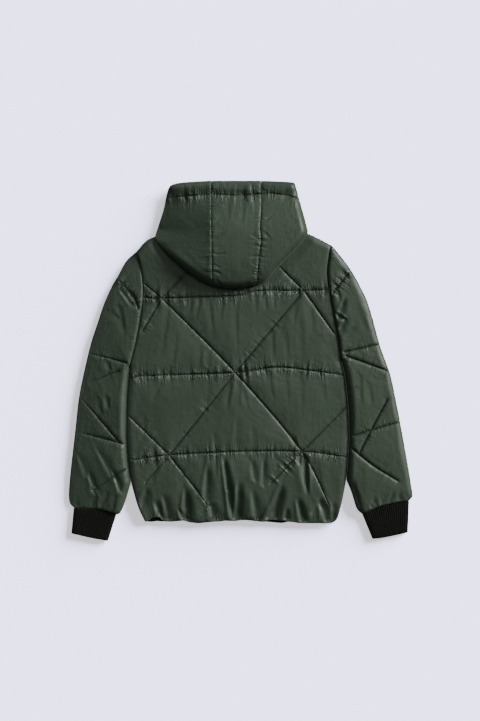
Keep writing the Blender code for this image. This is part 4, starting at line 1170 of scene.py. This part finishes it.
# ==== Hem facing ==============================================================================
# A black elasticated facing inside the hem; slivers of it show where the hem rolls up.
FACING_ENDS = (-233, 214)
FACING_DEPTH = 20.0
FACING_LEVELS = (10.9, 12.1)
FACING_STEP = 4.0
FACING_HELD = 3.0                   # how far it stays inside the hem
FACING_SHOWN = (3.5, 8, 4)          # drop where the hem lifts, how far before and after it starts
FACING_GATHERS = (0.25, 3.1)        # height, pitch
facing_cloth = cloth_material("hem facing", ((0.002, 0.002, 0.002), (0.003, 0.003, 0.003)),
                              roughness=0.8, specular=0.05, weave=400.0, weave_depth=0.3,
                              slack=0.3, sheen=0.0)
facing_x = np.arange(FACING_ENDS[0], FACING_ENDS[1] + 1, FACING_STEP)
hem_y = np.interp(facing_x, hem_line[:, 0], hem_line[:, 1])
drop, before, after = FACING_SHOWN
shown = sum(ramp(facing_x, start - before, start + after)
            * ramp(-facing_x, -end - before, after - end) for start, end, _ in HEM_LIFTS)
facing_foot = hem_y + FACING_HELD - drop * shown
facing_outline = closed(np.column_stack((facing_x, hem_y + FACING_DEPTH)),
                        np.column_stack((facing_x, facing_foot))[::-1])


def facing_level(level):
    height, pitch = FACING_GATHERS
    return lambda points: level + height * np.sin(points[:, 0] / pitch)


facing_low, facing_high = map(facing_level, FACING_LEVELS)
body = Shell()
for face in (facing_low, facing_high):
    body.plain(facing_outline, face, 7.0)
body.close(facing_outline, facing_high, facing_low)
facing = body.finish("hem_lining_strip", facing_cloth, "hem_facing")

# ==== Zip =====================================================================================
# The front zip under the jacket: two woven tapes with moulded teeth, and its slider at the
# neck. Nothing of it shows from above.
ZIP_TAPE = (26.0, 10.9, 12.0)       # width, lower level, upper level
TAPE_ENDS = (1, 4.0)                # from the facing, from the edge joined at the neck
TOOTH = (1.5, 3.3, 3.2)             # along the zip, across it, high
TOOTH_PITCH = 2.6
TOOTH_LEVEL = 8.0
TOOTH_LAP = 0.9                     # how far each row stands off the middle
TEETH_ENDS = (3, 20)                # from the foot and the head of the tapes
ZIP_BEVEL = 0.3
SLIDER_SIZE = (9.8, 14.0)           # across, along
SLIDER_LEVELS = (2.0, 9.4)
SLIDER_GROOVE = (6.8, 4.7)          # width, floor level
SLIDER_BEVEL = 0.5
SLIDER_DOWN = 2                     # from the head of the tapes
zip_foot = float(np.interp(ZIP_X, hem_line[:, 0], hem_line[:, 1])) + FACING_DEPTH + TAPE_ENDS[0]
zip_head = float(np.interp(ZIP_X, neckline[:, 0], neckline[:, 1])) - TAPE_ENDS[1] - JOIN_WIDTH


def block(name, low, high, bevel):
    """A block with softened edges."""
    mesh = bmesh.new()
    bmesh.ops.create_cube(mesh, size=1)
    for corner in mesh.verts:
        share = np.array(corner.co) + 0.5
        corner.co = (np.array(low) + (np.array(high) - np.array(low)) * share) * MM
    bmesh.ops.bevel(mesh, geom=mesh.edges[:], offset=bevel * MM, segments=2, affect="EDGES")
    return shaped(name, mesh)


def metal(name, colour, roughness):
    """Plated metal, worn a little unevenly."""
    material, tree, shader = painted(name, Base_Color=(*colour, 1), Metallic=1.0)
    place = node(tree, "TexCoord").outputs["Object"]
    wear = node(tree, "TexNoise", {"Vector": place}, Scale=900.0, Detail=3.0)
    spread = node(tree, "MapRange", {"Value": wear.outputs["Fac"]}, To_Min=roughness * 0.8,
                  To_Max=roughness * 1.3)
    tree.links.new(spread.outputs["Result"], shader.inputs["Roughness"])
    return material


def repeated(name, paths, unit, material, spacing, node_name=None):
    """The unit mesh set out along paths in space, turned with them, as one object."""
    curve = bpy.data.curves.new(name + ".path", "CURVE")
    curve.dimensions = "3D"
    for path in paths:
        spline = curve.splines.new("POLY")
        spline.points.add(len(path) - 1)
        spline.points.foreach_set("co", np.column_stack((path * MM, np.ones(len(path)))).ravel())
    holder, unit_object = placed(name + ".path", curve), placed(name + ".unit", unit)
    tree = bpy.data.node_groups.new(name, "GeometryNodeTree")
    sockets = {key: tree.interface.new_socket(key, in_out="INPUT", socket_type="NodeSocket" + kind)
               for key, kind in (("Geometry", "Geometry"), ("Unit", "Object"),
                                 ("Spacing", "Float"), ("Material", "Material"))}
    tree.interface.new_socket("Geometry", in_out="OUTPUT", socket_type="NodeSocketGeometry")
    made = {key: tree.nodes.new(kind) for key, kind in (
        ("given", "NodeGroupInput"), ("unit", "GeometryNodeObjectInfo"),
        ("spaced", "GeometryNodeResampleCurve"), ("tangent", "GeometryNodeInputTangent"),
        ("marked", "GeometryNodeCaptureAttribute"),
        ("turned", "FunctionNodeAlignRotationToVector"),
        ("set out", "GeometryNodeInstanceOnPoints"), ("real", "GeometryNodeRealizeInstances"),
        ("painted", "GeometryNodeSetMaterial"), ("out", "NodeGroupOutput"))}
    made["spaced"].mode = "LENGTH"
    made["turned"].axis = "X"
    made["marked"].capture_items.new("VECTOR", "Tangent")
    for source, output, target, socket in (
            ("given", "Geometry", "spaced", "Curve"), ("given", "Spacing", "spaced", "Length"),
            ("spaced", "Curve", "marked", "Geometry"),
            ("tangent", "Tangent", "marked", "Tangent"),
            ("marked", "Geometry", "set out", "Points"),
            ("marked", "Tangent", "turned", "Vector"),
            ("turned", "Rotation", "set out", "Rotation"),
            ("given", "Unit", "unit", "Object"), ("unit", "Geometry", "set out", "Instance"),
            ("set out", "Instances", "real", "Geometry"),
            ("real", "Geometry", "painted", "Geometry"),
            ("given", "Material", "painted", "Material"),
            ("painted", "Geometry", "out", "Geometry")):
        tree.links.new(made[source].outputs[output], made[target].inputs[socket])
    modifier = holder.modifiers.new("set out", "NODES")
    modifier.node_group = tree
    for key, value in (("Unit", unit_object), ("Spacing", spacing * MM), ("Material", material)):
        modifier[sockets[key].identifier] = value
    holder.update_tag()
    data = settled(holder)
    bpy.data.objects.remove(unit_object)
    return dressed(name, data, material, node_name)


tape_cloth = cloth_material("zip tape", ((0.007, 0.010, 0.007), (0.009, 0.013, 0.009)),
                            roughness=0.8, specular=0.1, weave=700.0, weave_depth=0.5,
                            slack=0.1, sheen=0.0)
zip_metal = metal("zip metal", (0.10, 0.10, 0.10), 0.35)
tape_data = block("zip_tape", (ZIP_X - ZIP_TAPE[0] / 2, zip_foot, ZIP_TAPE[1]),
                  (ZIP_X + ZIP_TAPE[0] / 2, zip_head, ZIP_TAPE[2]), ZIP_BEVEL)
tape = dressed("zip_tape", tape_data, tape_cloth, "zip")
half_tooth = np.array(TOOTH) / 2
tooth = block("tooth", -half_tooth, half_tooth, ZIP_BEVEL)
teeth_paths = []
for side, start in ((1, TOOTH_PITCH / 2), (-1, 0)):
    y = np.linspace(zip_foot + TEETH_ENDS[0] + start, zip_head - TEETH_ENDS[1], 40)
    teeth_paths.append(np.array([(ZIP_X + side * TOOTH_LAP, at, TOOTH_LEVEL) for at in y]))
teeth = repeated("zip_teeth", teeth_paths, tooth, zip_metal, TOOTH_PITCH)

mesh = bmesh.new()
wide, groove = SLIDER_SIZE[0] / 2, SLIDER_GROOVE[0] / 2
low, high = SLIDER_LEVELS
profile = ((-wide, low), (wide, low), (wide, high), (groove, high), (groove, SLIDER_GROOVE[1]),
           (-groove, SLIDER_GROOVE[1]), (-groove, high), (-wide, high))
slider_foot = zip_head - SLIDER_SIZE[1] - SLIDER_DOWN
corners = [mesh.verts.new(((ZIP_X + x) * MM, slider_foot * MM, z * MM)) for x, z in profile]
moved = bmesh.ops.extrude_face_region(mesh, geom=[mesh.faces.new(corners)])["geom"]
bmesh.ops.translate(mesh, vec=(0, SLIDER_SIZE[1] * MM, 0),
                    verts=[part for part in moved if isinstance(part, bmesh.types.BMVert)])
bmesh.ops.recalc_face_normals(mesh, faces=mesh.faces)
bmesh.ops.bevel(mesh, geom=mesh.edges[:], offset=SLIDER_BEVEL * MM, segments=2, affect="EDGES")
dressed("slider_body", shaped("slider_body", mesh), zip_metal, "zip_slider")

# ==== Quilting thread =========================================================================
# Lockstitches of polyester thread along every quilting line and the hood's channel.
STITCH = (2.8, 0.55, 0.55)  # along the seam, across it, high
STITCH_BEVEL = 0.2
STITCH_PITCH = 3.6
STITCH_PROUD = 0.1
RAY_FROM = 0.2              # metres over the surface, above the whole jacket
thread = cloth_material("thread", ((0.012, 0.018, 0.011), (0.015, 0.022, 0.014)),
                        roughness=0.5, specular=0.3, weave=900.0, weave_depth=0.3,
                        slack=0.0, sheen=0.0)


def on_surface(piece, lines):
    """The lines laid on a finished piece, a little proud of it."""
    surface = bmesh.new()
    surface.from_mesh(piece.data)
    tree = BVHTree.FromBMesh(surface)
    surface.free()
    laid = []
    for line in lines:
        hits = [tree.ray_cast((x * MM, y * MM, RAY_FROM), (0, 0, -1))[0] for x, y in line]
        heights = np.array([hit.z / MM if hit else np.nan for hit in hits])
        laid.append(np.column_stack((line, heights + STITCH_PROUD))[~np.isnan(heights)])
    return laid


half_stitch = np.array(STITCH) / 2
stitch = block("stitch", -half_stitch, half_stitch, STITCH_BEVEL)
sewn = []
for name, lines in (("back_panel", back_lines), ("sleeve_left_tube", left_sleeve_lines),
                    ("sleeve_right_tube", right_sleeve_lines),
                    ("hood_side_left", hood_channels[:1]), ("hood_strip", hood_channels[1:2]),
                    ("hood_side_right", hood_channels[2:])):
    sewn += on_surface(bpy.data.objects[name], lines)
repeated("quilting_thread", sewn, stitch, thread, STITCH_PITCH)
